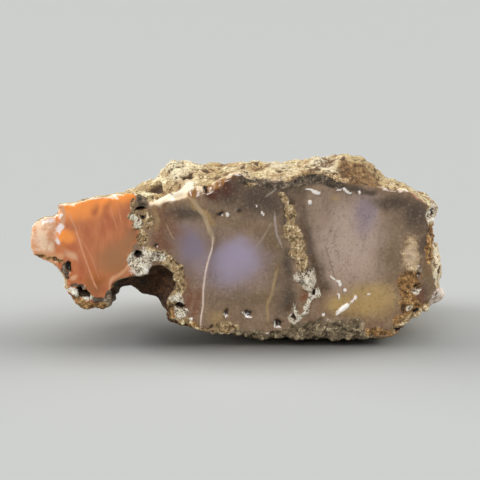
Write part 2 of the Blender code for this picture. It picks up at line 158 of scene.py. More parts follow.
# Depth behind the face, the two outlines that the ring lies between, how far it is on its way
# from the first to the second, and the same for the roof of the notch.
RINGS = [
    (0.0, FACE_EDGE, RIDGE, 0.0, 0.0),
    (3.0, FACE_EDGE, RIDGE, 0.3, 0.0),
    (8.0, FACE_EDGE, RIDGE, 0.75, 0.12),
    (12.5, FACE_EDGE, RIDGE, 1.0, 0.85),
    (17.0, RIDGE, BACK, 0.06, 0.05),
    (22.0, RIDGE, BACK, 0.42, 0.42),
    (28.0, BACK, REAR, 0.0, 0.0),
    (34.0, BACK, REAR, 0.45, 0.45),
    (38.5, BACK, REAR, 1.0, 1.0),
]
CAP_DEPTH = 41.0
CAP_SHRINK = 0.72
# The middle of the finished stone's box, x and y, which is moved over the origin.
MIDDLE = (0.2, 20.65)
print("rings:", len(RINGS), "and a cap")

# %% [markdown]
# ## The loft
# One circle is made, its points are put on the first outline, and its edge is extruded from
# ring to ring. Both ends are closed, so the skin has no hole anywhere.

# %% Draw a ring, extrude it and close the skin
def along(points, share):
    """The point at a share of the way along a broken line."""
    spans = [(b - a).length for a, b in zip(points, points[1:])]
    left = share * sum(spans)
    for start, end, span in zip(points, points[1:], spans):
        if left <= span:
            return start.lerp(end, left / span)
        left -= span
    return points[-1]


def ring_points(first, second, way, notch_way):
    """An outline part of the way from one to another. The notch has a share of its own."""
    points = []
    for run, steps in RUN_STEPS.items():
        start = [Vector(p) for p in first[run]]
        end = [Vector(p) for p in second[run]]
        share = notch_way if run == "arch" else way
        for number in range(steps):
            done = number / steps
            points.append(along(start, done).lerp(along(end, done), share))
    return points


def place_ring(verts, points, depth):
    for vert, point in zip(verts, points):
        vert.co = (point.x, depth, point.y)


def next_ring(bm, verts):
    """Extrudes a ring's edges and gives the new vertices in the old ones' order."""
    edges = [bm.edges.get(pair) for pair in zip(verts, verts[1:] + verts[:1])]
    made = bmesh.ops.extrude_edge_only(bm, edges=edges)["geom"]
    fresh = {item for item in made if isinstance(item, bmesh.types.BMVert)}
    ring = []
    for vert in verts:
        ring.append(next(e.other_vert(vert) for e in vert.link_edges
                         if e.other_vert(vert) in fresh))
    return ring


def in_scene(name, data):
    """Puts a mesh, a lamp or a camera into the scene."""
    obj = bpy.data.objects.new(name, data)
    bpy.context.scene.collection.objects.link(obj)
    return obj


def modelled(name, bm):
    mesh = bpy.data.meshes.new(name)
    bm.to_mesh(mesh)
    bm.free()
    return in_scene(name, mesh)


bm = bmesh.new()
count = sum(RUN_STEPS.values())
ring = bmesh.ops.create_circle(bm, cap_ends=True, segments=count, radius=1.0)["verts"]
for index, (depth, first, second, way, notch_way) in enumerate(RINGS):
    if index:
        ring = next_ring(bm, ring)
    points = ring_points(first, second, way, notch_way)
    place_ring(ring, points, depth)
ring = next_ring(bm, ring)
centre = sum(points, Vector((0.0, 0.0))) / count
place_ring(ring, [centre.lerp(p, CAP_SHRINK) for p in points], CAP_DEPTH)
bmesh.ops.contextual_create(bm, geom=ring)
bmesh.ops.recalc_face_normals(bm, faces=bm.faces)
stone = modelled("stone", bm)
print("loft:", len(stone.data.polygons), "faces")

# %% [markdown]
# ## Even clay
# The loft's faces are long and uneven, which is poor clay for fine work. A voxel remesh turns
# it into small even squares. The rind is then smoothed a good deal, as tumbling wears a stone,
# while the rim of the face, which broke later, is only just blunted.

# %% Remesh and wear
ROUGH_VOXEL = 0.8
FINE_VOXEL = 0.46
RIM_START = 0.4
RIM_WEAR = 1
RIND_START = 4.0
RIND_WEAR = 8
WEAR_FACTOR = 0.5


def settled(obj):
    """Takes an object's modifiers into its mesh."""
    graph = bpy.context.evaluated_depsgraph_get()
    mesh = bpy.data.meshes.new_from_object(obj.evaluated_get(graph))
    obj.modifiers.clear()
    obj.data = mesh


def remesh(obj, voxel):
    modifier = obj.modifiers.new("even", "REMESH")
    modifier.mode = "VOXEL"
    modifier.voxel_size = voxel
    settled(obj)


def wear(mesh, start, rounds):
    """Rounds off all that lies further back than start."""
    bm = bmesh.new()
    bm.from_mesh(mesh)
    behind = [vert for vert in bm.verts if vert.co.y > start]
    for _ in range(rounds):
        bmesh.ops.smooth_vert(bm, verts=behind, factor=WEAR_FACTOR, use_axis_x=True,
                              use_axis_y=True, use_axis_z=True)
    bm.to_mesh(mesh)
    bm.free()


remesh(stone, ROUGH_VOXEL)
wear(stone.data, RIM_START, RIM_WEAR)
wear(stone.data, RIND_START, RIND_WEAR)
print("even clay:", len(stone.data.polygons), "faces")

# %% [markdown]
# ## The hole in the lobe
# The lobe under the arm is pierced by one slanting hole. A bar of that shape is taken out of
# the stone with a Boolean, and the remesh that follows makes the cut's edges even again.

# %% Pierce the lobe
LOBE_HOLE = (-42.8, 10.0, 15.0)
LOBE_HOLE_WIDE = 2.3
LOBE_HOLE_HIGH = 1.3
LOBE_HOLE_TILT = 32.0
CUTTER_LENGTH = 60.0
CUTTER_SIDES = 24

bm = bmesh.new()
bmesh.ops.create_cone(bm, cap_ends=True, segments=CUTTER_SIDES, radius1=1.0, radius2=1.0,
                      depth=CUTTER_LENGTH)
spot = Matrix.Translation(LOBE_HOLE)
turn = Matrix.Rotation(math.radians(LOBE_HOLE_TILT), 4, "Y")
lay = Matrix.Rotation(math.radians(90.0), 4, "X")
size = Matrix.Diagonal((LOBE_HOLE_WIDE, 1.0, LOBE_HOLE_HIGH, 1.0))
bmesh.ops.transform(bm, matrix=spot @ turn @ size @ lay, verts=bm.verts)
cutter = modelled("hole_cutter", bm)

modifier = stone.modifiers.new("hole", "BOOLEAN")
modifier.operation = "DIFFERENCE"
modifier.solver = "EXACT"
modifier.object = cutter
settled(stone)
bpy.data.objects.remove(cutter, do_unlink=True)
remesh(stone, FINE_VOXEL)
print("pierced clay:", len(stone.data.polygons), "faces")

# %% Read the clay's points
def mesh_array(mesh, name):
    values = np.empty(len(mesh.vertices) * 3, dtype=np.float32)
    mesh.vertices.foreach_get(name, values)
    return values.reshape(-1, 3).astype(float)


place = mesh_array(stone.data, "co")
normal = mesh_array(stone.data, "normal")
x, y, z = place.T.copy()
clay_points = [Vector(p) for p in place]
print("clay:", len(x), "points")

# %% [markdown]
# ## Distances on the face
# All that lies on the face is drawn with two kinds of stroke, an oval and a broken line. Each
# gives a number to every point of the clay: 1 well inside the stroke, one half on its border
# and 0 well outside it. Dishes and veins are drawn on the plain face. Crusts and clouds are
# drawn on a face that is bent by noise, so that none of them ends in a smooth curve.

# %% Bent faces
def bent(*waves):
    """The points' x and z, moved by noise of the given sizes and amounts."""
    moved = np.array([x, z])
    for wave_size, amount in waves:
        moves = [noise.noise_vector(p / wave_size) for p in clay_points]
        moved = moved + amount * np.array([[m.x, m.z] for m in moves]).T
    return moved


PLAIN = np.array([x, z])
RAGGED = bent((2.6, 0.9), (1.1, 0.45))
WAVY = bent((9.0, 2.2), (3.0, 1.1))
NICKED = bent((1.5, 0.5), (0.8, 0.25))
print("bent faces:", round(float(np.abs(RAGGED - PLAIN).max()), 1), "and",
      round(float(np.abs(WAVY - PLAIN).max()), 1), "mm at most")

# %% Ovals and lines
# The exponential of minus this is one half.
HALF_FADE = 0.69


def line_place(points, at):
    """Distance of each point from a broken line on the face, and 1 or -1 for its side."""
    nearest = np.full(len(x), np.inf)
    side = np.ones(len(x))
    for (ax, az), (bx, bz) in zip(points, points[1:]):
        dx, dz = bx - ax, bz - az
        right, up = at[0] - ax, at[1] - az
        share = np.clip((right * dx + up * dz) / (dx * dx + dz * dz), 0.0, 1.0)
        apart = np.hypot(right - share * dx, up - share * dz)
        side = np.where(apart < nearest, np.sign(dx * up - dz * right), side)
        nearest = np.minimum(nearest, apart)
    return nearest, side


def line_distance(points, at=PLAIN):
    return line_place(points, at)[0]


def oval(cx, cz, rx, rz, tilt=0.0, at=PLAIN):
    """Distance from the middle of an oval, 1 on its border. Tilt turns it anticlockwise."""
    turn = math.radians(tilt)
    along_x = (at[0] - cx) * math.cos(turn) + (at[1] - cz) * math.sin(turn)
    along_z = (at[1] - cz) * math.cos(turn) - (at[0] - cx) * math.sin(turn)
    return np.hypot(along_x / rx, along_z / rz)


print("ovals and lines can be measured")

# %% Strokes
def step(values, start, end):
    """0 up to the start, 1 from the end on, and an even slope between them."""
    return np.clip((values - start) / (end - start), 0.0, 1.0)


def window(values, start, full, full_to, end):
    """1 from full to full_to, and 0 before the start and after the end."""
    return step(values, start, full) * step(values, end, full_to)


def most(*fields):
    return np.maximum.reduce(fields)


def inside(distance):
    """A firm stroke, one half on its border, where the distance is 1."""
    return step(distance, 1.5, 0.5)


def fading(distance):
    """A soft stroke, one half where the distance is 1."""
    return np.exp(-HALF_FADE * distance ** 2)


def spots(*ovals):
    """Crust in ovals: middle x and z, half sizes and tilt."""
    return most(*[inside(oval(*numbers, at=RAGGED)) for numbers in ovals])


def line(width, *points):
    """Crust along a broken line, width to each side."""
    return inside(line_distance(points, RAGGED) / width)


def clouds(*ovals, at=WAVY):
    """Soft colour in ovals, which fades out slowly."""
    return most(*[fading(oval(*numbers, at=at)) for numbers in ovals])


def blots(*ovals):
    """The same for small ovals, which keep their places better."""
    return clouds(*ovals, at=RAGGED)


def veil(width, *points):
    """Soft colour along a broken line."""
    return fading(line_distance(points, WAVY) / width)


def bowl(distance):
    """Depth of a round pit: 1 in its middle, 0 from its border on."""
    return np.sqrt(np.clip(1.0 - distance ** 2, 0.0, 1.0))


print("strokes: spots, lines, clouds, blots and veils")

# %% [markdown]
# ## The broken face
# Chalcedony breaks like thick glass, in shallow dishes that meet in sharp crests. Every dish is
# a bowl, and where two overlap the deeper one wins, which leaves a crest between them by
# itself. The pale vein and the crusted vein stand a little higher still.

# %% Lines of the face
VEIN = [(-14.4, 43.2), (-12.4, 40.2), (-10.3, 37.2), (-9.0, 34.2), (-7.7, 30.6), (-8.0, 27.2),
        (-9.1, 23.8), (-9.9, 20.2), (-10.4, 15.9), (-10.5, 11.6), (-11.1, 7.8), (-11.4, 4.9)]
FORK = [(9.7, 45.1), (6.9, 41.8), (8.5, 37.5), (5.4, 29.2)]
FORK_RIGHT = [(8.5, 37.5), (9.6, 31.4), (11.2, 28.3)]
LOW_CREST = [(9.4, 21.0), (8.1, 14.5), (6.8, 11.3), (7.1, 7.3)]
CRUST_VEIN = [(11.3, 43.7), (11.6, 41.0), (13.0, 38.3), (12.7, 35.0), (12.4, 31.9), (14.6, 31.2),
              (15.5, 28.6), (14.6, 26.7), (15.5, 25.0), (16.7, 22.2), (17.5, 18.5), (19.0, 15.3),
              (17.1, 12.2), (16.3, 9.9), (14.2, 8.4)]
VALLEY = [(15.3, 42.4), (16.4, 36.9), (18.2, 31.4), (19.3, 25.8), (21.2, 20.2), (22.2, 15.9)]
SEAM = [(-28.6, 43.2), (-27.3, 41.0), (-26.9, 38.8), (-27.5, 36.1), (-28.1, 32.2),
        (-27.4, 28.6), (-28.3, 26.7), (-29.9, 23.8)]
TIP_SEAM = [(-49.2, 36.2), (-50.2, 33.0), (-49.4, 30.0), (-50.0, 27.0)]
STREAK = [(-45.6, 36.6), (-44.4, 33.4), (-43.5, 30.0), (-42.7, 26.6), (-41.6, 23.2), (-40.6, 20.2),
          (-39.4, 17.0)]
EDGE_RIDGE = [(-21.2, 40.0), (-20.6, 36.4), (-19.6, 33.2), (-18.6, 30.8)]
print("the vein is", round(sum(math.dist(a, b) for a, b in zip(VEIN, VEIN[1:]))), "mm long")

# %% Dishes, crests and lumps of the face
# Centre x and z, half sizes and depth.
DISHES = [
    (-41.5, 30.0, 14.0, 13.0, 1.3),
    (-16.0, 24.0, 11.0, 23.0, 2.0),
    (0.5, 24.0, 13.0, 25.0, 2.6),
    (11.0, 22.0, 8.0, 24.0, 1.7),
    (32.0, 27.0, 18.0, 23.0, 3.2),
    (46.0, 31.0, 9.0, 13.0, 1.5),
]
# The line, its height, and how far from it the crest has sunk to a third of that.
CRESTS = [
    (VEIN, 1.5, 2.4),
    (FORK, 0.7, 1.4),
    (FORK_RIGHT, 0.7, 1.6),
    (LOW_CREST, 0.8, 1.6),
    (CRUST_VEIN, 1.7, 1.7),
    (VALLEY, -1.3, 2.2),
    (SEAM, -1.6, 1.8),
    (TIP_SEAM, -1.0, 1.2),
    (STREAK, 0.35, 0.8),
    (EDGE_RIDGE, 0.5, 1.0),
]
# Centre x and z, radius and height.
LUMPS = [
    (-27.8, 24.0, 3.0, 1.3), (-25.0, 25.8, 1.8, 0.9), (-26.2, 21.6, 1.8, 0.8),
    (-28.6, 33.8, 1.7, 0.9), (-52.3, 31.5, 2.6, 0.9), (-47.9, 30.0, 1.5, 0.7),
    (12.8, 36.6, 1.5, 0.7), (14.0, 31.6, 1.9, 0.8), (17.3, 20.2, 2.7, 1.7),
    (18.6, 17.4, 1.6, 0.8), (45.0, 27.4, 2.6, 0.7), (45.6, 16.5, 3.2, 0.8),
    (47.4, 15.8, 1.1, 0.7), (-17.8, 21.0, 1.6, 0.6), (-15.6, 17.0, 1.5, 0.7),
]


def face_relief():
    """How far the broken face lies behind its rim, at each point."""
    dish = np.zeros(len(x))
    for cx, cz, rx, rz, depth in DISHES:
        dish = np.maximum(dish, depth * (1 - ((x - cx) / rx) ** 2 - ((z - cz) / rz) ** 2))
    for points, height, width in CRESTS:
        dish -= height * np.exp(-line_distance(points) / width)
    for cx, cz, radius, height in LUMPS:
        dish -= height * np.exp(-((x - cx) ** 2 + (z - cz) ** 2) / radius ** 2)
    return dish


into = face_relief()
print("face:", len(DISHES), "dishes,", len(CRESTS), "crests,", len(LUMPS), "lumps")

# %% [markdown]
# ### Pits, chips and the bevelled rim
# Open pits in the crusts are painted black as shade. Others are bubbles in the glass, with
# painted shade inside and a painted glint on the lower wall. Blows left small chips, each a bump
# painted white, partly as bruised glass and partly as a painted glint on its upper side. Along
# its top the rim has flaked to a narrow bevel, which is painted pale as a highlight.

# %% Pits of the face
pit_depth = np.zeros(len(x))
# Middle x and z, half sizes, tilt in degrees and depth.
DARK_PITS = [
    (-26.8, 38.3, 1.7, 0.6, -4.0, 2.6), (-26.4, 36.1, 1.0, 0.5, 10.0, 1.8),
    (-27.9, 25.7, 1.1, 1.0, 20.0, 2.4), (-16.9, 10.7, 1.5, 0.9, -30.0, 2.4),
    (14.2, 8.3, 0.95, 0.85, 0.0, 1.6), (19.5, 15.0, 0.75, 0.75, 0.0, 2.2),
    (46.8, 16.9, 0.9, 0.6, 10.0, 1.2), (-46.7, 22.3, 0.9, 1.6, 15.0, 1.7),
    (51.3, 39.0, 1.2, 1.0, 20.0, 1.6), (50.6, 31.6, 0.7, 1.2, 0.0, 1.2),
    (42.9, 4.2, 1.1, 0.5, 10.0, 1.2), (-9.6, 43.6, 0.45, 1.2, 25.0, 1.0),
    (-22.8, 28.0, 0.9, 0.5, 50.0, 0.8), (47.6, 20.4, 0.9, 0.7, 0.0, 1.0),
    (47.0, 9.8, 1.2, 0.6, 20.0, 1.2), (-8.3, 5.3, 0.7, 0.7, 0.0, 1.0),
]
BUBBLE_PITS = [
    (-5.6, 36.7, 1.7, 0.8, 20.0, 0.9), (-0.6, 37.5, 0.9, 0.6, 0.0, 0.5),
    (-4.2, 8.8, 0.8, 1.3, 0.0, 0.9), (1.5, 8.6, 1.4, 0.9, -20.0, 1.1),
    (9.8, 6.0, 1.2, 1.3, 0.0, 1.5), (49.6, 28.2, 0.8, 0.8, 0.0, 0.8),
]
for cx, cz, rx, rz, tilt, depth in DARK_PITS + BUBBLE_PITS:
    pit_depth += depth * bowl(oval(cx, cz, rx, rz, tilt, NICKED))
print("pits:", len(DARK_PITS), "dirty and", len(BUBBLE_PITS), "clean")

# %% Chips and bevels of the face
# Chips are painted white: partly bruised glass, partly a painted glint where their upper side
# catches the light.
# Start and end of each chip, and its half width.
CHIPS = [
    ((17.0, 44.0), (18.2, 43.8), 0.3), ((18.3, 43.8), (19.0, 43.2), 0.35),
    ((19.0, 43.2), (20.2, 42.8), 0.55), ((17.9, 40.5), (18.0, 40.1), 0.55),
    ((25.2, 43.6), (25.8, 43.5), 0.35), ((26.8, 44.0), (27.6, 43.0), 0.4),
    ((27.6, 43.0), (28.6, 42.4), 0.35), ((30.9, 42.9), (31.2, 42.4), 0.35),
    ((24.0, 19.0), (26.2, 17.4), 0.25), ((26.4, 17.6), (26.7, 16.6), 0.45),
    ((26.2, 14.2), (26.5, 13.0), 0.3), ((28.0, 15.3), (28.1, 15.0), 0.4),
    ((25.8, 8.7), (27.0, 9.6), 0.35), ((27.0, 9.6), (28.4, 10.6), 0.55),
    ((28.4, 10.6), (29.0, 11.1), 0.4), ((29.9, 12.0), (30.1, 12.2), 0.4),
    ((30.8, 12.9), (31.0, 13.2), 0.45), ((22.1, 8.7), (22.3, 8.9), 0.4),
    ((34.3, 14.0), (34.6, 14.1), 0.25), ((46.2, 20.4), (46.5, 20.5), 0.3),
    ((3.7, 39.3), (3.9, 38.8), 0.25), ((5.2, 37.4), (5.9, 36.5), 0.25),
    ((-3.9, 37.0), (-3.8, 36.4), 0.45), ((5.0, 3.4), (5.6, 3.1), 0.3),
    ((6.8, 3.4), (7.4, 3.2), 0.3), ((10.4, 2.6), (11.6, 3.1), 0.3),
    ((-14.2, 7.6), (-13.6, 7.4), 0.3), ((-4.8, 8.4), (-4.2, 7.7), 0.24),
    ((0.3, 8.9), (1.2, 7.8), 0.24), ((1.2, 7.8), (2.6, 7.6), 0.24),
    ((8.7, 6.8), (9.2, 4.9), 0.24), ((9.2, 4.9), (10.6, 4.7), 0.24),
]
CHIP_HEIGHT = 0.45
# Depth and width of each bevel, and the line that it follows.
BEVELS = [
    (0.9, 1.3, (-48.6, 40.3), (-44.7, 40.2), (-40.5, 41.7), (-36.2, 42.2), (-30.0, 43.0)),
    (1.3, 2.0, (-24.2, 40.2), (-21.6, 40.3), (-17.1, 41.6), (-15.2, 42.6), (-13.6, 44.3),
     (-11.0, 44.5)),
    (1.3, 1.6, (-8.9, 44.3), (-7.0, 46.2), (-4.4, 47.0), (-2.6, 48.6), (-0.5, 49.0)),
    (0.9, 1.3, (36.0, 44.6), (39.4, 43.7), (42.8, 44.3), (44.7, 43.2), (49.5, 39.8)),
    (0.8, 1.4, (-49.3, 39.3), (-48.7, 37.8), (-49.3, 36.6), (-53.2, 36.2), (-56.4, 33.4)),
]

chips = most(*[inside(line_distance((start, end)) / width) for start, end, width in CHIPS])
bevel = np.zeros(len(x))
for depth, width, *points in BEVELS:
    bevel = np.maximum(bevel, depth * step(line_distance(points, RAGGED) / width, 1.0, 0.0))
into = into + pit_depth + bevel - CHIP_HEIGHT * chips
print("chips:", len(CHIPS), "and bevels:", len(BEVELS))

# %% [markdown]
# ## A map of the stone
# The colours of such a stone keep to places: the arm is orange, two clouds in the middle are
# lavender, iron has stained the edges ochre. Each place gets a map, made of the same strokes.
# The crusts come first, because they are rough and so shape the clay as well.

# %% Tan and white crusts
near_face = step(y, 2.6, 1.2)
MAPS = {}
MAPS["tan"] = most(
    spots((-27.2, 34.3, 1.9, 2.3, 20), (45.3, 26.0, 2.3, 4.7, 4), (-29.0, 36.2, 1.4, 1.3),
          (-27.9, 37.4, 1.6, 0.7, 20), (-28.6, 39.4, 0.7, 1.4), (-24.9, 35.8, 1.2, 2.8, 5),
          (-4.2, 4.9, 3.8, 1.3), (-16.5, 7.2, 2.6, 1.0)),
    line(1.3, (-27.0, 33.0), (-26.4, 31.2), (-26.8, 29.6)),
    line(1.7, (-24.6, 26.8), (-21.5, 25.2), (-19.6, 23.2), (-17.8, 21.6), (-16.8, 19.6),
         (-16.5, 17.4), (-16.9, 15.6), (-17.8, 13.6), (-19.0, 12.0)),
    line(1.0, (-13.6, 4.8), (-8.0, 3.8), (-4.0, 3.4)),
    line(0.8, (10.6, 42.6), (11.3, 40.8)),
    line(1.1, (11.0, 47.0), (15.2, 48.4), (20.0, 49.2), (24.1, 47.8), (27.0, 46.0)) * near_face,
    line(1.5, (12.3, 38.6), (12.8, 37.0), (12.9, 34.8), (12.4, 32.5)),
    line(2.1, (12.8, 32.3), (14.0, 31.3), (15.1, 29.6), (15.2, 27.6)),
    line(1.7, (14.4, 27.4), (14.0, 26.4), (15.6, 25.4), (16.2, 23.6), (16.7, 21.6)),
    line(1.1, (42.0, 5.0), (45.2, 7.0), (48.6, 9.6), (50.2, 11.0)),
    spots((-23.2, 41.6, 2.6, 1.3), (2.6, 44.7, 1.8, 0.6)) * near_face,
)
MAPS["white"] = most(
    spots((-27.4, 23.6, 3.4, 3.6), (-23.2, 25.7, 3.0, 1.4, -22), (17.4, 18.8, 2.9, 2.9),
          (19.4, 14.8, 1.8, 1.8), (16.9, 9.8, 1.2, 0.7, 20), (14.3, 8.0, 1.7, 1.8),
          (-17.6, 12.8, 1.9, 1.6), (-16.4, 9.4, 1.8, 1.5), (50.6, 36.6, 1.8, 2.8),
          (-28.8, 35.9, 0.9, 0.8), (-27.4, 34.1, 1.5, 1.4), (47.2, 15.6, 1.2, 1.0),
          (45.4, 11.0, 1.2, 0.8)),
    line(0.9, (-46.6, 16.2), (-44.6, 14.8)),
    line(0.6, (-42.6, 13.8), (-40.8, 13.4)),
    line(0.6, (18.4, 13.2), (17.2, 11.0)),
    line(0.5, (14.4, 11.6), (14.3, 10.0)),
)
print("thick crusts:", ", ".join(MAPS))

# %% Moss, rust and dark crusts
MAPS["moss"] = most(
    line(2.6, (16.0, 4.0), (24.0, 4.6), (30.5, 4.6)),
    line(1.3, (-1.0, 3.2), (4.0, 2.6), (10.0, 2.4), (17.0, 3.0)),
    line(1.3, (31.0, 2.6), (35.0, 2.4)),
    line(1.8, (12.0, 1.0), (24.0, 0.8), (36.0, 0.8)),
)
MAPS["rust"] = most(
    spots((37.8, 3.7, 4.6, 1.4), (45.0, 17.0, 2.9, 4.4), (45.8, 11.0, 3.0, 3.4),
          (43.6, 6.8, 2.6, 1.8), (-14.4, 6.2, 3.2, 0.9, -10), (-6.8, 4.2, 1.6, 0.8)),
    line(1.5, (-45.6, 13.6), (-43.0, 11.6), (-40.0, 10.6), (-37.5, 11.2)),
    line(1.2, (-19.4, 9.6), (-17.8, 7.2), (-14.6, 5.4)),
    line(0.4, (-54.6, 25.8), (-50.5, 24.4), (-48.4, 23.8)),
    line(1.0, (50.3, 33.0), (50.6, 27.0), (50.4, 24.0)),
)
# Dark crust; the lines along the top lip under the rind are painted shade.
MAPS["dark_crust_and_shade"] = most(
    line(1.4, (-36.8, 12.6), (-35.3, 13.4), (-34.8, 15.2)),
    line(0.5, (-46.4, 17.6), (-42.6, 16.4)),
    line(1.0, (-26.9, 41.0), (-26.4, 40.2), (-26.2, 39.2)) * near_face,
    spots((-38.8, 13.2, 1.8, 1.0), (47.4, 20.8, 1.2, 0.9), (-47.4, 21.6, 1.0, 2.2, 20)),
    line(1.0, (0.2, 46.4), (3.6, 45.4), (8.0, 45.2), (12.0, 45.4)) * near_face,
    line(1.4, (14.0, 46.0), (17.5, 46.6), (21.0, 46.4), (25.0, 45.2)) * near_face,
)
CRUST_FULL_TO = 5.0
CRUST_ENDS = 9.0
for name in MAPS:
    MAPS[name] = MAPS[name] * step(y, CRUST_ENDS, CRUST_FULL_TO)
crusty = most(*MAPS.values())
print("crusts:", ", ".join(MAPS))

# %% [markdown]
# ### The clouds in the glass
# These are only colour, so they don't touch the clay. They are soft, as they lie inside the
# stone, and some of them overlap.

# %% Clouds of the arm
ARM_TOP = FACE_EDGE["arm_top"][6:]
# The arm ends at this x at each of these heights.
ARM_BORDER_Z = [17.0, 21.5, 23.0, 26.0, 28.5, 29.5, 31.5, 33.5, 34.5, 37.0, 40.0, 42.0, 44.0]
ARM_BORDER_X = [-30.0, -28.6, -29.6, -29.5, -29.0, -27.3, -27.0, -28.0, -29.6, -29.0, -28.0,
                -27.6, -27.8]
TIP_BORDER_X = -50.0


def left_of(border):
    """1 left of a border on the face, one half on it and 0 right of it."""
    return np.clip(border - RAGGED[0] + 0.5, 0.0, 1.0)


MAPS["arm"] = left_of(np.interp(RAGGED[1], ARM_BORDER_Z, ARM_BORDER_X))
# Painted glow: the arm's thin top is coloured bright orange where light shines through it.
MAPS["painted_glow"] = most(veil(3.9, *ARM_TOP[:7]), veil(2.5, *ARM_TOP[5:]),
                     clouds((-46.9, 30.0, 2.8, 2.4)))
MAPS["red"] = 0.7 * clouds((-35.8, 37.0, 1.6, 3.2, -8), (-39.4, 38.6, 1.2, 1.2),
                           (-45.6, 27.6, 2.6, 1.3), (-43.2, 21.6, 1.4, 3.2, 10),
                           (-43.9, 18.9, 1.0, 0.8), (-36.5, 16.2, 2.0, 1.6))
MAPS["olive"] = clouds((-33.2, 24.8, 4.6, 5.4, -20), (-30.6, 30.0, 2.4, 4.0))
MAPS["pale"] = most(
    0.7 * veil(0.6, (-30.4, 22.2), (-32.2, 20.4), (-33.9, 18.4), (-34.4, 16.0)),
    veil(0.7, (-48.2, 39.8), (-47.2, 37.6), (-47.0, 35.0)),
    clouds((-45.8, 24.9, 2.4, 1.3, -30), (-45.4, 19.8, 0.9, 0.9)),
)
MAPS["tip_edge"] = veil(1.3, (-56.5, 27.0), (-53.5, 25.4), (-49.6, 25.4))
MAPS["toffee"] = clouds((-39.2, 17.0, 3.6, 3.2))
MAPS["tip"] = left_of(TIP_BORDER_X)
MAPS["frost"] = spots((-48.7, 33.0, 1.2, 1.9, -20), (-49.2, 29.6, 0.7, 1.6, 10),
                      (-47.9, 35.9, 0.7, 0.9), (-51.6, 35.4, 1.6, 0.5))
print("maps, with the arm's:", len(MAPS))

# %% Clouds of the body
MAPS["lilac"] = clouds((-14.2, 27.0, 4.0, 5.6))
MAPS["lavender"] = clouds((-2.0, 24.4, 6.0, 5.2))
# The right panel's pale rose tone, with a soft painted sheen in it.
MAPS["rose_sheen"] = clouds((28.6, 29.0, 8.4, 12.6))
MAPS["violet"] = clouds((32.6, 36.0, 2.6, 6.0), (-3.6, 20.4, 7.0, 4.6))
MAPS["ochre"] = most(clouds((34.4, 12.2, 7.0, 3.8), (27.0, 11.6, 4.0, 2.6)),
                     0.6 * clouds((-7.0, 7.4, 1.4, 2.6), (24.3, 41.0, 1.8, 1.2)))
MAPS["gold"] = most(0.8 * veil(0.8, (-13.4, 42.4), (-11.6, 39.6), (-9.4, 36.8), (-8.2, 34.4)),
                    0.7 * blots((-22.8, 35.4, 1.0, 4.2)))
MAPS["olive_brown"] = most(clouds((8.8, 24.0, 3.6, 8.0), (2.0, 13.4, 6.0, 2.4),
                                  (40.0, 23.0, 3.0, 8.0), (50.4, 17.0, 1.4, 4.6)),
                           veil(0.7, *EDGE_RIDGE))
# Smoke is the glass's own dark tone; the veils along the valley by the crusted vein and under the
# rind's lip at the top are painted shade.
MAPS["smoke_and_shade"] = most(
    clouds((5.0, 41.0, 6.4, 4.4), (-3.4, 42.4, 3.6, 4.2), (46.2, 36.8, 4.2, 4.8),
           (41.0, 40.4, 6.0, 2.6), (11.6, 12.4, 2.2, 5.4), (12.4, 22.0, 1.4, 4.6),
           (-14.6, 37.2, 5.0, 2.2), (48.8, 31.0, 1.8, 6.0), (11.6, 38.0, 2.0, 5.0),
           (49.4, 13.0, 1.6, 3.2)),
    0.3 * clouds((2.0, 9.0, 9.0, 3.4), (-14.8, 19.0, 2.0, 3.6)),
    0.6 * veil(2.0, (14.8, 42.4), (16.4, 36.9), (17.4, 32.0)),
    0.7 * veil(2.2, (17.6, 30.8), (18.6, 26.6), (20.4, 21.6), (21.6, 16.4)),
    veil(1.1, (13.0, 44.8), (22.0, 45.2), (34.0, 44.2)),
    veil(1.3, (0.0, 46.0), (6.0, 44.4), (12.0, 44.8)),
)
MAPS["russet"] = most(
    clouds((-14.9, 13.0, 1.2, 4.4), (-12.6, 12.0, 1.2, 4.6), (-21.8, 32.0, 2.0, 7.0),
           (15.9, 14.0, 0.8, 2.0), (49.0, 12.6, 1.5, 2.4), (-20.4, 28.4, 1.5, 2.4)),
    0.6 * clouds((-18.4, 33.4, 3.0, 5.2)),
    0.7 * blots((-15.4, 15.0, 1.0, 4.6)),
)
MAPS["umber"] = blots((-5.0, 44.6, 2.8, 2.8), (-7.6, 42.6, 1.6, 2.0))
# Painted highlight: a cream line along the left panel's upward-facing rim.
RIM_HIGHLIGHT = [(-22.6, 40.6), (-20.6, 41.0), (-17.8, 42.2), (-15.4, 43.4), (-13.4, 44.4)]
MAPS["rim"] = line(0.9, *RIM_HIGHLIGHT) * step(y, 2.4, 1.2)
MAPS["chamois"] = 0.8 * blots((45.3, 26.0, 2.4, 4.8, 4))
MAPS["amber"] = blots((-13.0, 43.2, 1.3, 1.2), (-8.8, 44.6, 1.0, 1.5), (-5.6, 45.6, 2.4, 0.8, 30))
MAPS["salmon"] = blots((47.4, 41.4, 2.6, 1.0, -25), (-13.4, 43.3, 1.0, 1.0))
print("maps, with the body's:", len(MAPS))

# %% Maps of the chips, the clean pits and the bevel
# Chips: bruised white and painted glint.
MAPS["chips"] = chips
# Painted shade inside the bubble pits.
MAPS["pit_shade"] = most(*[step(oval(*pit[:5], NICKED), 1.0, 0.4) for pit in BUBBLE_PITS])
# Painted highlight along the bevel, which faces up.
MAPS["bevel"] = np.clip(bevel, 0.0, 1.0)
print("maps, with chips and bevel:", len(MAPS))

# %% [markdown]
# ## The rind
# The rind grew in grape-like knobs and weathered into pits. Broad swells, small waves and one
# knob to each cell of a Voronoi pattern make the knobs. A finer pattern, bent by noise so that
# no two holes are alike, eats pocks out of them, in swarms.

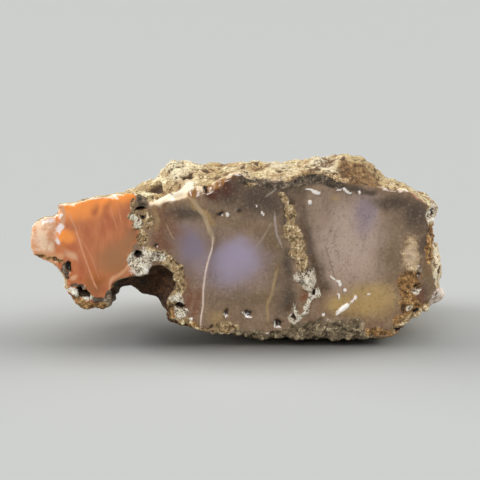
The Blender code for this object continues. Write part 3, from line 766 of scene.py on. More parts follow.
# %% Patterns of the rind and of the crusts
# Of each pair, the first is the size of the pattern and the second its height or depth.
SWELL = (17.0, 1.5)
WAVE = (7.0, 0.8)
KNOB = (5.5, 1.0)
GRAIN = (2.4, 0.4)
FINE_GRAIN = (1.1, 0.26)
POCK = (1.7, 0.7)
CRUST_LUMP = (2.9, 0.8)
CRUST_GRAIN = (1.3, 0.8)
CRUST_PIT = (1.6, 0.6)
# Of these, the second is how far the noise moves a point.
POCK_BEND = (1.7, 0.9)
PIT_BEND = (2.4, 1.3)
CRUST_BEND = (1.2, 0.7)
# The swells are low at the face and high at the back.
SWELL_AT_FACE = 0.6
SWELL_AT_BACK = 1.9
SWELL_GROWS_OVER = 18.0
# How far knobs and holes reach, as a share of the pattern's size.
KNOB_REACH = 0.75
KNOB_MEAN = 0.55
CRUST_PIT_REACH = 0.45
POCK_REACH = 0.42
POCK_LEAST = 0.5
# Pocks lie in swarms, where broad noise is over a limit, and in this share of the cells there.
SWARM_SIZE = 9.0
SWARM_LIMIT = -0.1
POCK_SHARE = 0.22
CHANCE_SCALE = 3.7
# Centre x, y and z, radius and depth.
RIND_PITS = [
    (-17.2, 9.0, 48.5, 1.3, 1.8), (-12.6, 9.0, 48.3, 1.5, 1.8), (-14.0, 5.0, 46.5, 1.9, 2.0),
    (-23.5, 6.0, 43.0, 2.6, 2.2), (-5.0, 8.0, 46.5, 1.4, 1.3), (10.5, 7.0, 47.0, 1.2, 1.4),
    (21.5, 8.0, 49.0, 1.8, 1.6), (30.5, 7.5, 48.5, 1.3, 1.6), (36.5, 8.0, 45.0, 1.8, 1.6),
    (51.5, 4.0, 36.5, 1.9, 2.2), (52.0, 4.5, 29.0, 1.5, 1.8), (52.5, 5.0, 19.0, 1.6, 1.6),
    (2.0, 26.0, 43.5, 2.4, 2.2), (26.0, 30.0, 43.0, 2.8, 2.4), (-14.0, 31.0, 36.0, 2.6, 2.2),
    (14.0, 39.0, 26.0, 3.2, 2.6), (36.0, 37.0, 20.0, 2.6, 2.2), (-4.0, 37.0, 18.0, 2.8, 2.4),
    (53.0, 20.0, 24.0, 2.6, 2.2), (-40.0, 17.0, 28.0, 2.4, 1.8), (-30.0, 22.0, 20.0, 2.4, 2.0),
]
print("knobs are about", KNOB[0], "mm apart and pocks", POCK[0], "mm")

# %% Work out the rind and the crusts
def ripple(p, wave):
    """Height of a wave of noise at a point."""
    return wave[1] * noise.noise(p / wave[0])


def drift(p, wave):
    """How far noise moves a point, as a vector."""
    return noise.noise_vector(p / wave[0]) * wave[1]


def pock_depth(p):
    """Depth of the pock that the point lies in, if its cell has one."""
    if noise.noise(p / SWARM_SIZE) < SWARM_LIMIT:
        return 0.0
    distances, centres = noise.voronoi((p + drift(p, POCK_BEND)) / POCK[0])
    chance = noise.cell(centres[0] * CHANCE_SCALE)
    if chance > POCK_SHARE:
        return 0.0
    reach = POCK_REACH * (POCK_LEAST + chance / POCK_SHARE)
    return POCK[1] * math.sqrt(max(0.0, 1.0 - (distances[0] / reach) ** 2))


def rind_relief(points):
    """How far the rind stands out, its small relief alone, and how deep its pocks are."""
    out = []
    small = []
    pocks = []
    for p in points:
        further = min(max(SWELL_AT_FACE + p.y / SWELL_GROWS_OVER, SWELL_AT_FACE), SWELL_AT_BACK)
        near = noise.voronoi(p / KNOB[0])[0][0]
        knob = KNOB[1] * max(0.0, 1.0 - (near / KNOB_REACH) ** 2)
        small.append(knob + ripple(p, GRAIN) + ripple(p, FINE_GRAIN) - KNOB_MEAN)
        out.append(further * (ripple(p, SWELL) + ripple(p, WAVE)) + small[-1])
        pocks.append(pock_depth(p))
    return np.array(out), np.array(small), np.array(pocks)


def crust_relief(points):
    """A fine rubble with small holes, for the crusts on the face."""
    out = []
    for p in points:
        near = noise.voronoi((p + drift(p, CRUST_BEND)) / CRUST_PIT[0])[0][0]
        hole = CRUST_PIT[1] * max(0.0, 1.0 - (near / CRUST_PIT_REACH) ** 2)
        out.append(ripple(p, CRUST_GRAIN) + ripple(p, CRUST_LUMP) - hole)
    return np.array(out)


raised, small_relief, pocks = rind_relief(clay_points)
rubble = crust_relief(clay_points)
swirl = np.array([drift(p, PIT_BEND) for p in clay_points])
rind_pits = np.zeros(len(x))
for cx, cy, cz, radius, depth in RIND_PITS:
    apart = np.linalg.norm(place + swirl - (cx, cy, cz), axis=1)
    rind_pits += depth * bowl(apart / radius)
print("rind:", len(RIND_PITS), "pits,", round(float((pocks > 0.1).mean()) * 100), "% in pocks")

# %% [markdown]
# ## Carving the clay
# Every vertex is moved once. On the face it is pushed in by the relief of the face, and on the
# rest it moves along its normal by the relief of the rind. Near the rim the two fade into each
# other, so the rim stays where the outline put it. The crusts roughen both. At the end no
# vertex may lie outside the plain solid's box.

# %% Move the vertices
# The face is what looks forward and lies near the front.
FORWARD_FROM = 0.45
FORWARD_FULL = 0.85
FACE_FULL_TO = 1.0
FACE_ENDS = 2.0
RELIEF_REACH = 6.0
RIND_AT_RIM = 0.35
RIND_FULL_AT = 6.5
RIND_UNDERNEATH = 0.3
RIND_FULL_ABOVE = 5.0
# The clay may reach this far under the floor, because its base is cut off later.
UNDER_FLOOR = 9.0

facing = step(-normal[:, 1], FORWARD_FROM, FORWARD_FULL) * step(y, FACE_ENDS, FACE_FULL_TO)
into = into * np.clip(1.0 - y / RELIEF_REACH, 0.0, 1.0)
grown = np.clip(RIND_AT_RIM + (1.0 - RIND_AT_RIM) * y / RIND_FULL_AT, 0.0, 1.0)
worn = np.clip(RIND_UNDERNEATH + (1.0 - RIND_UNDERNEATH) * z / RIND_FULL_ABOVE,
               RIND_UNDERNEATH, 1.0)
rind = (1.0 - facing) * grown * worn
rough = step(crusty, 0.3, 0.7) * step(z, -1.0, 1.5)
place += normal * ((raised - rind_pits - pocks) * rind + rubble * rough)[:, None]
place[:, 1] += into
middle = np.array([*MIDDLE, 0.0])
low = np.array(CAD_BOX[0]) / METRES + middle - (0.0, 0.0, UNDER_FLOOR)
place = np.clip(place, low, np.array(CAD_BOX[1]) / METRES + middle)
stone.data.vertices.foreach_set("co", place.astype(np.float32).ravel())
stone.data.update()
print("relief of the face:", round(into.min(), 2), "to", round(into.max(), 2), "mm")

# %% [markdown]
# ### Painted shade and highlight
# Pits, pocks and the hole in the lobe are painted dark as shade, the deeper the darker. The
# rind's hollows get painted shade and its knobs a painted highlight, and so do the crusts' hollows
# and lumps. All of it follows from the relief itself, so it is worked out from it instead of being
# drawn.

# %% Painted shade in holes, and relief
# A rind pit and a pock this deep are painted quite black with shade, in millimetres.
PIT_BLACK = 1.8
POCK_BLACK = 1.1
HEIGHT_MIDDLE = 0.5
HEIGHT_SPREAD = 0.35
RUBBLE_MIDDLE = 0.55
RUBBLE_SPREAD = 0.3

# Painted shade in the dark pits, the lobe's hole and the rind's pits and pocks.
dark_pit_shade = most(*[step(oval(*pit[:5], NICKED), 1.15, 0.6) for pit in DARK_PITS])
hole = oval(LOBE_HOLE[0], LOBE_HOLE[2], LOBE_HOLE_WIDE, LOBE_HOLE_HIGH, -LOBE_HOLE_TILT)
inside_hole = step(hole, 1.7, 1.3) * window(y, 0.3, 1.5, 15.0, 18.0)
rind_hole_shade = np.clip(rind_pits / PIT_BLACK + pocks / POCK_BLACK, 0.0, 1.0) * (1.0 - facing)
MAPS["hole_shade"] = most(dark_pit_shade * step(y, 3.0, 2.0), inside_hole, rind_hole_shade)
MAPS["glassy"] = facing
# The rind's relief: it sets where the rind gets painted shade and painted highlight.
MAPS["height"] = np.clip(HEIGHT_MIDDLE + small_relief * HEIGHT_SPREAD, 0.0, 1.0)
# The crusts' relief: it sets where they get painted highlight and painted shade.
MAPS["rubble"] = np.clip(RUBBLE_MIDDLE + rubble * RUBBLE_SPREAD, 0.0, 1.0)
print("soot covers", round(float((MAPS["hole_shade"] > 0.5).mean()) * 100), "%")

# %% Places on the rind
# Painted shade: the inside of the arch, which lies in shade, is painted dark brown.
cave_shade = window(x, -36.5, -34.5, -16.5, -15.0) * window(y, 0.6, 3.0, 18.0, 26.0)
MAPS["cave_shade"] = cave_shade * window(z, 3.0, 6.0, 22.0, 24.0)
brown_top = window(x, 24.0, 27.5, 36.5, 38.0) * window(y, -1.0, 0.5, 8.0, 10.5)
MAPS["brown_top"] = brown_top * step(z, 43.0, 44.5)
MAPS["cream"] = clouds((-17.5, 46.5, 4.5, 2.6), (6.0, 48.0, 9.0, 1.8), (20.0, 49.6, 4.6, 2.0))
MAPS["pale_end"] = step(x, 50.5, 52.5) * step(z, 15.0, 17.0)
MAPS["wedge"] = step(x, 50.0, 51.5) * step(y, 17.0, 14.0) * window(z, 8.0, 10.0, 14.5, 16.5)


def store(name, values):
    """Keeps a number for each point of the clay, which the finish reads by its name."""
    layer = stone.data.attributes.new(name, "FLOAT", "POINT")
    layer.data.foreach_set("value", values.astype(np.float32))


for name, values in MAPS.items():
    store(name, values)
print("stored maps:", len(MAPS))

# %% [markdown]
# ### Fine lines
# A line thinner than the clay's faces can't be drawn by a map of spots. Each fine line gets a
# map of the distance to it, negative on its left, and is drawn where that passes zero. A
# second map of the plain distance ends it at its ends.

# %% Store the fine lines
# The line, half its width, its strength and its colour.
HAIRS = {
    "vein": (VEIN[4:], 0.34, 1.0, (222, 200, 186)),
    "vein_top": (VEIN[:5], 0.9, 0.75, (186, 162, 130)),
    "wisp_left": ([(7.6, 34.4), (6.4, 31.6), (5.2, 29.4), (3.8, 27.4)],
                  0.4, 0.5, (170, 154, 140)),
    "wisp_right": ([(8.7, 36.6), (8.9, 34.2), (9.3, 31.2), (10.4, 28.6)],
                   0.45, 0.7, (184, 172, 166)),
    "wisp_top": ([(6.7, 42.2), (8.2, 43.6), (9.8, 45.0)], 0.35, 0.7, (166, 152, 138)),
    "streak": (STREAK, 0.4, 0.7, (226, 166, 130)),
    "streak_two": ([(-42.8, 29.6), (-41.5, 27.2), (-40.2, 24.4), (-39.4, 21.8), (-38.6, 19.6)],
                   0.35, 0.5, (208, 146, 112)),
    "streak_three": ([(-34.6, 38.6), (-34.0, 36.0), (-33.4, 33.4)], 0.3, 0.5, (222, 150, 110)),
    # Painted highlight: a pale line along the arm's upward-facing top rim.
    "arm_rim": ([(-53.4, 35.8), (-49.2, 36.2), (-48.4, 37.6), (-48.9, 39.2), (-47.9, 39.8),
                 (-44.7, 39.7), (-42.6, 40.5), (-40.5, 41.2), (-36.2, 41.7), (-32.0, 42.3)],
                0.5, 1.0, (255, 232, 210)),
    "streak_four": ([(-32.6, 38.2), (-32.1, 35.8)], 0.3, 0.4, (222, 150, 110)),
    "ridge_line": ([(-19.9, 33.6), (-19.2, 31.8), (-18.4, 30.2)], 0.3, 0.6, (190, 158, 122)),
    "groove": ([(22.5, 27.2), (23.4, 24.4), (24.2, 21.8), (25.2, 18.6)],
               0.3, 0.6, (104, 84, 70)),
    "low_line": (LOW_CREST, 0.6, 0.7, (170, 144, 98)),
}
for name, (points, *_) in HAIRS.items():
    distance, side = line_place(points, PLAIN)
    store(name + "_near", distance)
    store(name + "_line", distance * side)
print("fine lines:", ", ".join(HAIRS))

# %% [markdown]
# ## The resting patch
# The stone stands on a worn patch. Everything under z = 0 is cut away and the cut is filled,
# then the stone is moved over the origin and turned from millimetres into metres. The patch is
# flat, with a clear edge, so it isn't shaded smooth.

# %% Cut the base and put the stone in its place
CUT_TOLERANCE = 0.001

bm = bmesh.new()
bm.from_mesh(stone.data)
whole = list(bm.verts) + list(bm.edges) + list(bm.faces)
cut = bmesh.ops.bisect_plane(bm, geom=whole, plane_co=(0, 0, 0), plane_no=(0, 0, 1),
                             clear_inner=True, dist=CUT_TOLERANCE)["geom_cut"]
rim = [item for item in cut if isinstance(item, bmesh.types.BMEdge)]
patch_faces = bmesh.ops.holes_fill(bm, edges=rim)["faces"]
bmesh.ops.transform(bm, matrix=Matrix.Translation((-MIDDLE[0], -MIDDLE[1], 0.0)),
                    verts=bm.verts)
bmesh.ops.scale(bm, vec=(METRES, METRES, METRES), verts=bm.verts)
for face in bm.faces:
    face.smooth = True
for face in patch_faces:
    face.smooth = False
for edge in rim:
    edge.smooth = False
bm.to_mesh(stone.data)
bm.free()
triangles = sum(len(face.vertices) - 2 for face in stone.data.polygons)
print("stone:", triangles, "triangles")

# %% [markdown]
# ## The finish
# Chalcedony is a waxy, slightly see-through glass, so light goes a little way in before it
# comes out again. Its rind and crusts are dull and chalky. One material covers both, because
# the stone is one piece, and the maps say which is where. Noise breaks up the edge of each
# map, so no colour ends in a drawn line.

# %% Colours and nodes
RIND_GAIN = 0.72


def tone(red, green, blue, gain=1.0):
    """A colour as seen on a screen, 0 to 255, as the linear colour that a shader takes."""
    def linear(value):
        share = value / 255.0
        return share / 12.92 if share <= 0.04045 else ((share + 0.055) / 1.055) ** 2.4
    return (linear(red) * gain, linear(green) * gain, linear(blue) * gain, 1.0)


def chalk(red, green, blue):
    """A colour as seen on the rind, which faces up and so gets more light than the face."""
    return tone(red, green, blue, RIND_GAIN)


finish = bpy.data.materials.new("chalcedony_finish")
finish.use_nodes = True
tree = finish.node_tree
surface = tree.nodes["Principled BSDF"]


def feed(socket, value):
    """Links a socket to another node's output, or sets it to a number or colour."""
    if isinstance(value, bpy.types.NodeSocket):
        tree.links.new(value, socket)
    else:
        socket.default_value = value


def add_node(kind, **inputs):
    """A new node, its inputs fed by their names."""
    node = tree.nodes.new(kind)
    for name, value in inputs.items():
        feed(node.inputs[name.replace("_", " ")], value)
    return node


scale_node = add_node("ShaderNodeVectorMath")
scale_node.operation = "SCALE"
feed(scale_node.inputs["Scale"], 1.0 / METRES)
feed(scale_node.inputs[0], add_node("ShaderNodeTexCoord").outputs["Object"])
in_mm = scale_node.outputs[0]
print("the finish measures in millimetres, by a scale of", round(1.0 / METRES))

# %% Helpers for the finish
def speckle(size, detail=3.0, roughness=0.55, stretch=(1.0, 1.0, 1.0)):
    """Noise whose blotches are about size millimetres across."""
    mapping = add_node("ShaderNodeMapping", Vector=in_mm, Scale=stretch)
    waves = add_node("ShaderNodeTexNoise", Vector=mapping.outputs["Vector"], Scale=1.0 / size,
                     Detail=detail, Roughness=roughness)
    return waves.outputs["Fac"]


def math_node(operation, *values):
    node = add_node("ShaderNodeMath")
    node.operation = operation
    for socket, value in zip(node.inputs, values):
        feed(socket, value)
    return node.outputs["Value"]


def largest(first, *others):
    for other in others:
        first = math_node("MAXIMUM", first, other)
    return first


def nudged(base, waves, amount):
    """A number that noise moves up and down."""
    return math_node("MULTIPLY_ADD", math_node("SUBTRACT", waves, 0.5), amount, base)


def between(value, start, end, low=0.0, high=1.0):
    """Turns start to end into low to high, with soft ends."""
    node = add_node("ShaderNodeMapRange", Value=value, From_Min=start, From_Max=end,
                    To_Min=low, To_Max=high)
    node.interpolation_type = "SMOOTHSTEP"
    return node.outputs["Result"]


def stored(name):
    node = add_node("ShaderNodeAttribute")
    node.attribute_name = name
    return node.outputs["Fac"]


def ragged(name, waves, amount, start, end):
    """A stored map with its edge broken up by noise."""
    return between(nudged(stored(name), waves, amount), start, end)


def blend(share, under, over):
    """Lays one colour over another where share is 1."""
    node = add_node("ShaderNodeMix")
    node.data_type = "RGBA"
    feed(node.inputs["Factor"], share)
    for name, colour in (("A", under), ("B", over)):
        feed(next(s for s in node.inputs if s.name == name and s.type == "RGBA"), colour)
    return next(s for s in node.outputs if s.type == "RGBA")


def painted(under, layers):
    """Lays a table of colours over one, each where its ragged map is."""
    for name, waves, amount, start, end, over in layers:
        under = blend(ragged(name, waves, amount, start, end), under, over)
    return under


print("finish helpers ready")

# %% [markdown]
# ### Colours of the glassy face
# The ground is a smoky grey-brown. Clouds of lavender, rose and ochre lie in it, and the rose one
# holds a soft painted sheen. Smoke darkens the glass, and along the valley and under the rind's
# lip it is painted shade. The arm is carnelian, with a painted glow at its thin top where light
# shines through.

# %% Glassy body
soft = speckle(9.0, 4.0)
mottle = speckle(2.6, 5.0, 0.6)
fine = speckle(0.8, 4.0, 0.65)
drawn = speckle(3.0, 5.0, 0.6, (1.6, 1.0, 0.45))

# Map, the noise that frays it, how much, where the colour starts and is full, and the colour.
BODY_LAYERS = [
    ("olive_brown", mottle, 0.3, 0.0, 1.0, tone(122, 99, 70)),
    # Pale rose tone with a painted sheen.
    ("rose_sheen", soft, 0.5, 0.0, 1.0, tone(188, 164, 148)),
    ("violet", soft, 0.3, 0.0, 1.0, tone(152, 134, 140)),
    ("lilac", soft, 0.2, 0.0, 1.0, tone(132, 117, 131)),
    ("lavender", soft, 0.2, 0.0, 1.0, tone(164, 151, 172)),
    # Smoky tone, with painted shade in the valley and under the rind's lip.
    ("smoke_and_shade", mottle, 0.3, 0.0, 1.0, tone(82, 64, 48)),
    ("russet", mottle, 0.25, 0.0, 1.0, tone(124, 80, 54)),
    ("umber", mottle, 0.3, 0.0, 0.9, tone(86, 38, 12)),
    ("ochre", mottle, 0.6, 0.1, 0.9, tone(180, 150, 98)),
    ("gold", mottle, 0.6, 0.1, 0.9, tone(170, 138, 92)),
    ("salmon", mottle, 0.6, 0.2, 0.8, tone(196, 142, 120)),
]
ground = blend(between(soft, 0.3, 0.7), tone(132, 105, 80), tone(150, 124, 98))
ground = painted(ground, BODY_LAYERS)
print("glassy body:", len(BODY_LAYERS), "colours")

# %% Grain in the glass
restless = between(largest(stored("lavender"), stored("lilac")), 0.6, 0.1)
pale_grain = math_node("MULTIPLY", between(fine, 0.5, 0.75, 0.0, 0.22), restless)
dark_grain = math_node("MULTIPLY", between(fine, 0.5, 0.25, 0.0, 0.4), restless)
strands = math_node("MULTIPLY", between(drawn, 0.5, 0.72, 0.0, 0.35), restless)
ground = blend(strands, ground, tone(96, 76, 58))
ground = blend(pale_grain, ground, tone(206, 186, 160))
ground = blend(dark_grain, ground, tone(62, 47, 36))
specks = between(speckle(0.8, 2.0, 0.5), 0.6, 0.7, 0.0, 0.6)
ground = blend(math_node("MULTIPLY", specks, between(stored("rose_sheen"), 0.1, 0.8)), ground,
               tone(120, 96, 86))
print("grain: pale, dark, strands and specks")

# %% Carnelian arm
tip_tone = blend(between(mottle, 0.4, 0.62), tone(248, 214, 182), tone(226, 164, 122))
ARM_LAYERS = [
    ("olive", mottle, 0.4, 0.0, 1.0, tone(166, 113, 72)),
    ("toffee", mottle, 0.5, 0.0, 1.0, tone(162, 98, 50)),
    # Painted glow along the arm's thin top.
    ("painted_glow", soft, 0.5, 0.05, 0.8, tone(255, 158, 76)),
    ("red", mottle, 0.5, 0.1, 1.0, tone(178, 94, 58)),
    ("pale", mottle, 0.7, 0.2, 0.9, tone(216, 164, 126)),
    ("tip", mottle, 0.9, 0.1, 0.9, tip_tone),
    ("tip_edge", mottle, 0.8, 0.2, 0.9, tone(214, 156, 112)),
    ("frost", fine, 1.5, 0.35, 0.95, tone(248, 232, 228)),
]
arm_tone = blend(between(drawn, 0.3, 0.7), tone(184, 106, 64), tone(206, 126, 80))
arm_tone = painted(arm_tone, ARM_LAYERS)
ground = blend(ragged("arm", mottle, 0.5, 0.3, 0.7), ground, arm_tone)
print("carnelian arm:", len(ARM_LAYERS), "colours")

# %% [markdown]
# ### Hair lines
# The vein is a hair of white-pink agate on its crest, broader and tan at its top. Pale healed
# cracks streak the arm and fork through the body, and the pale line along the arm's top rim is
# a painted highlight. Chips are white, partly as bruised glass and partly as a painted glint.
# The bevel is painted pale as a highlight, and the bubble pits get painted shade.

# %% Vein, wisps and streaks
waver = math_node("MULTIPLY", math_node("SUBTRACT", mottle, 0.5), 0.6)
thick = between(mottle, 0.3, 0.65)


def hair(name, width, share):
    """A fine line along a stored distance, of uneven strength."""
    off = math_node("ABSOLUTE", math_node("ADD", stored(name + "_line"), waver))
    core = between(off, width, width * 0.3)
    ends = between(stored(name + "_near"), width + 1.0, width + 0.5)
    uneven = math_node("MULTIPLY_ADD", thick, 0.5, 0.5)
    strength = math_node("MULTIPLY", math_node("MULTIPLY", core, ends), share)
    return math_node("MULTIPLY", strength, uneven)


MARK_LAYERS = [
    # Painted shade in the bubble pits.
    ("pit_shade", fine, 0.3, 0.1, 0.8, tone(54, 42, 34)),
    # Chips: bruised white and painted glint.
    ("chips", fine, 0.6, 0.3, 0.8, tone(240, 232, 224)),
    # Painted highlight along the bevel.
    ("bevel", mottle, 0.9, 0.35, 0.9, tone(240, 218, 184)),
    ("amber", mottle, 0.6, 0.2, 0.8, tone(150, 108, 66)),
]
for name, (_, width, share, seen) in HAIRS.items():
    ground = blend(hair(name, width, share), ground, tone(*seen))
ground = painted(ground, MARK_LAYERS)
print("hair lines:", len(HAIRS))

# %% [markdown]
# ### Crusts and rind
# Tan crust follows the second vein and the notch, white crust sits in lumps, moss-grey grit
# lines the lower edge and iron has rusted some of it. Each crust gets a painted highlight on its
# lumps and painted shade in its hollows. The rind is cream and brown, with a painted highlight
# where it stands out, painted shade in its hollows and its pits painted dark as shade.

# %% Grit of the crusts and the rind
tiny = speckle(0.45, 3.0, 0.7)
broad = speckle(6.0, 5.0, 0.6)
gritty = math_node("MULTIPLY_ADD", fine, 0.45, math_node("MULTIPLY", tiny, 0.4))
gritty = math_node("MULTIPLY_ADD", mottle, 0.15, gritty)
high = nudged(stored("height"), gritty, 2.2)


def rubble_light_and_shade(light, middle, dark, contrast=3.9, gain=1.0):
    """Rubble of three colours, broken by grit, with a painted highlight on its lumps and painted
    shade in its hollows.
    """
    shade = nudged(stored("rubble"), gritty, -contrast)
    shaded = blend(between(shade, 0.5, 0.2), tone(*middle, gain), tone(*dark, gain))
    return blend(between(shade, 0.62, 0.9), shaded, tone(*light, gain))


print("grit is fine, tiny and mottled noise in one")

# %% Rind
worn_down = between(speckle(3.0, 5.0, 0.65), 0.5, 0.62, 0.0, 0.5)
rind_tone = blend(between(broad, 0.3, 0.7), chalk(232, 208, 154), chalk(206, 170, 116))
rind_tone = painted(rind_tone, [("cream", mottle, 0.8, 0.2, 0.9, chalk(254, 238, 200))])
rind_tone = blend(worn_down, rind_tone, chalk(172, 134, 88))
# Painted shade in the rind's hollows and a painted highlight on its knobs.
rind_tone = blend(between(high, 0.4, 0.22, 0.0, 0.8), rind_tone, chalk(134, 98, 58))
rind_tone = blend(between(high, 0.58, 0.78), rind_tone, tone(255, 242, 202, 0.86))
rind_tone = blend(between(gritty, 0.475, 0.415, 0.0, 0.9), rind_tone, chalk(92, 66, 40))
RIND_PLACES = [
    ("pale_end", fine, 0.8, 0.3, 0.9,
     rubble_light_and_shade((250, 238, 210), (226, 206, 170), (110, 86, 58))),
    ("brown_top", mottle, 0.9, 0.35, 0.7,
     rubble_light_and_shade((206, 170, 116), (150, 112, 66), (84, 58, 34), gain=RIND_GAIN)),
    ("wedge", fine, 0.7, 0.3, 0.7,
     rubble_light_and_shade((255, 244, 230), (248, 226, 208), (150, 124, 100))),
    # Painted shade inside the arch.
    ("cave_shade", mottle, 0.6, 0.25, 0.7,
     rubble_light_and_shade((136, 92, 54), (84, 54, 30), (34, 22, 14))),
]
rind_tone = painted(rind_tone, RIND_PLACES)
print("rind:", len(RIND_PLACES), "places of their own")

# %% Crusts
CRUST_LAYERS = [
    ("moss", mottle, 1.4, 0.2, 0.9, rubble_light_and_shade((198, 180, 148), (124, 108, 81), (56, 45, 31))),
    # Dark crust, with painted shade along the top lip.
    ("dark_crust_and_shade", fine, 1.0, 0.4, 0.65, rubble_light_and_shade((160, 142, 118), (96, 82, 66), (48, 42, 36))),
    ("rust", fine, 1.0, 0.4, 0.6, rubble_light_and_shade((220, 180, 122), (152, 112, 64), (72, 50, 28))),
    ("tan", fine, 1.0, 0.4, 0.6, rubble_light_and_shade((252, 232, 194), (176, 147, 104), (84, 62, 38))),
    ("white", fine, 1.0, 0.4, 0.6,
     rubble_light_and_shade((255, 250, 236), (224, 210, 186), (80, 66, 50), contrast=5.2)),
]
glassy = ragged("glassy", fine, 0.5, 0.4, 0.6)
colour = blend(glassy, rind_tone, ground)
crust_shares = []
for name, waves, amount, start, end, rubble_tone in CRUST_LAYERS:
    share = ragged(name, waves, amount, start, end)
    colour = blend(share, colour, rubble_tone)
    crust_shares.append(share)
print("crusts:", len(CRUST_LAYERS))

# %% Painted shade in holes, and the worn underside
# Heights over the floor between which the worn tone of the resting patch fades out.
PATCH_FADE = (0.03, 0.15)

# The colour of the painted shade in holes.
hole_shade_tone = blend(glassy, tone(74, 54, 36), tone(26, 19, 14))
# The rim line is a painted highlight and the dark of the holes is painted shade; chamois is the
# crust's own tone.
colour = painted(colour, [
    ("rim", mottle, 1.4, 0.35, 0.8, tone(250, 238, 212)),
    ("chamois", fine, 1.0, 0.3, 0.9, tone(224, 197, 166)),
    ("hole_shade", fine, 0.9, 0.15, 0.6, tone(104, 78, 52)),
    ("hole_shade", fine, 0.6, 0.4, 0.9, hole_shade_tone),
])
split = add_node("ShaderNodeSeparateXYZ", Vector=in_mm)
underfoot = between(split.outputs["Z"], PATCH_FADE[1], PATCH_FADE[0])
worn_tone = blend(between(gritty, 0.4, 0.6), tone(96, 76, 54), tone(168, 142, 104))
colour = blend(underfoot, colour, worn_tone)
feed(surface.inputs["Base Color"], colour)
print("the resting patch is worn up to", PATCH_FADE[1], "mm")

# %% [markdown]
# ### Gloss, depth and grain
# Only bare chalcedony is glossy. The crusts are dull, so the share of crust sets the
# roughness. A little light goes under the skin all over. The grain is bump: fine on the glass,
# coarse on the crusts.

# %% Gloss and grain
GLASS_ROUGHNESS = 0.2
CHALK_ROUGHNESS = 0.85
QUARTZ_IOR = 1.54
# How far light goes in and how deep the grain is, in millimetres.
LIGHT_DEPTH = 2.5
GRAIN_DEPTH = 0.9

dull = largest(math_node("SUBTRACT", 1.0, glassy), underfoot, *crust_shares)
feed(surface.inputs["Roughness"],
     between(dull, 0.0, 1.0, GLASS_ROUGHNESS, CHALK_ROUGHNESS))
surface.inputs["IOR"].default_value = QUARTZ_IOR
surface.inputs["Subsurface Weight"].default_value = 0.3
surface.inputs["Subsurface Radius"].default_value = (1.0, 0.6, 0.4)
surface.inputs["Subsurface Scale"].default_value = LIGHT_DEPTH * METRES

grain = add_node("ShaderNodeBump", Distance=GRAIN_DEPTH * METRES, Height=gritty,
                 Strength=between(dull, 0.0, 1.0, 0.06, 1.0))
feed(surface.inputs["Normal"], grain.outputs["Normal"])
stone.data.materials.clear()
stone.data.materials.append(finish)
print("finish:", len(tree.nodes), "nodes")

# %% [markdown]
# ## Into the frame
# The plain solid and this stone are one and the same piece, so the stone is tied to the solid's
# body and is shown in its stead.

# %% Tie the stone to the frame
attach(stone, "root")
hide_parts("chalcedony")
print("tied to the frame:", stone.name)

# %% [markdown]
# ## The studio
# The stone stands on a plain pale floor. The arm's shadow is wide and soft, but the edge under
# the stone is black. So the light comes from an arc of lamps, from the left over the stone to
# the right, all a little behind it. A lamp high in front lights only the stone.

# %% Floor, with its edges out of sight
FLOOR_HALF = 3.0
bm = bmesh.new()
bmesh.ops.create_grid(bm, x_segments=1, y_segments=1, size=FLOOR_HALF)
floor = modelled("studio_floor", bm)
floor_finish = bpy.data.materials.new("studio_floor_finish")
floor_finish.use_nodes = True
floor_surface = floor_finish.node_tree.nodes["Principled BSDF"]
floor_surface.inputs["Base Color"].default_value = tone(206, 208, 206)
floor_surface.inputs["Roughness"].default_value = 0.9
floor_surface.inputs["Specular IOR Level"].default_value = 0.1
floor.data.materials.append(floor_finish)
print("floor:", 2.0 * FLOOR_HALF, "m wide")

# %% Lights
ALL_AROUND = 0.05
ARC_SPREAD = 30.0
FLOOR_SHARE_GAIN = 4.95
# Each lamp's angle from overhead to the right, its angle to the back, and its share of the
# floor's brightness.
ARC = [
    (-66.0, 30.0, 0.16), (-44.0, 14.0, 0.04), (-22.0, 14.0, 0.07), (0.0, 14.0, 0.08),
    (22.0, 14.0, 0.06), (44.0, 14.0, 0.12), (66.0, 30.0, 0.07),
]
FILL = (-8.0, -48.0)
FILL_SPREAD = 26.0
FILL_STRENGTH = 2.35


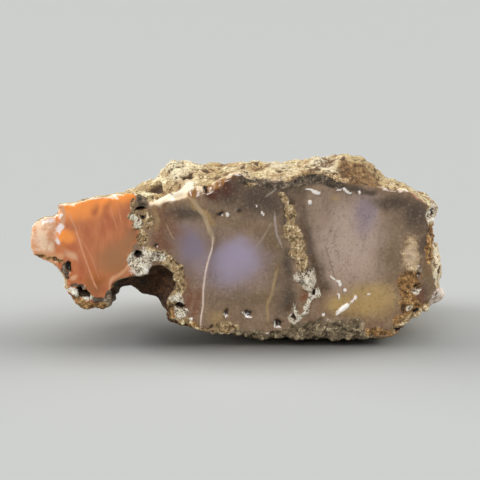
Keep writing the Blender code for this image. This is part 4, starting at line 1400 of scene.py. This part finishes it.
def from_above(to_right, to_back):
    """Direction towards a lamp that hangs at these angles from overhead."""
    right, back = math.radians(to_right), math.radians(to_back)
    return Vector((math.sin(right), math.cos(right) * math.sin(back),
                   math.cos(right) * math.cos(back)))


def lamp(name, direction, spread, strength):
    light = bpy.data.lights.new(name, "SUN")
    light.energy = strength
    light.angle = math.radians(spread)
    holder = in_scene(name, light)
    holder.rotation_euler = direction.to_track_quat("Z", "Y").to_euler()
    return holder


for number, (to_right, to_back, share) in enumerate(ARC):
    direction = from_above(to_right, to_back)
    lamp(f"arc_{number}", direction, ARC_SPREAD, share * FLOOR_SHARE_GAIN / direction.z)
fill = lamp("fill", from_above(*FILL), FILL_SPREAD, FILL_STRENGTH)
filled = bpy.data.collections.new("fill_receivers")
filled.objects.link(stone)
fill.light_linking.receiver_collection = filled
world = bpy.data.worlds.new("studio")
world.use_nodes = True
backdrop = world.node_tree.nodes["Background"]
backdrop.inputs["Color"].default_value = (1.0, 1.0, 1.0, 1.0)
backdrop.inputs["Strength"].default_value = ALL_AROUND
bpy.context.scene.world = world
bpy.context.scene.view_settings.view_transform = "Standard"
print("lamps:", len(ARC) + 1)

# %% [markdown]
# ## The camera
# It stands in front of the face and a little above it, and a long lens keeps the stone's two
# ends from bulging.

# %% Camera
ELEVATION = math.radians(17.0)
LENS = 85.0
NEAREST = 0.01
DISTANCE = 0.3015
# The point looked at lies this far to the side of the stone's middle, and this high.
AIM_ASIDE = -0.0005
AIM_HEIGHT = 0.030
AIM = Vector((AIM_ASIDE - MIDDLE[0] * METRES, -MIDDLE[1] * METRES, AIM_HEIGHT))

lens = bpy.data.cameras.new("camera")
lens.lens = LENS
lens.clip_start = NEAREST
camera = in_scene("camera", lens)
away = Vector((0.0, -math.cos(ELEVATION), math.sin(ELEVATION)))
camera.location = AIM + away * DISTANCE
camera.rotation_euler = (math.radians(90.0) - ELEVATION, 0.0, 0.0)
bpy.context.scene.camera = camera
print("camera at", [round(value, 4) for value in camera.location])

# %% [markdown]
# ## The end
# The plain solid's box was printed at the start, and the carving kept every vertex inside it.
# Here the scene is brought up to date.

# %% Bring the scene up to date
bpy.context.view_layer.update()
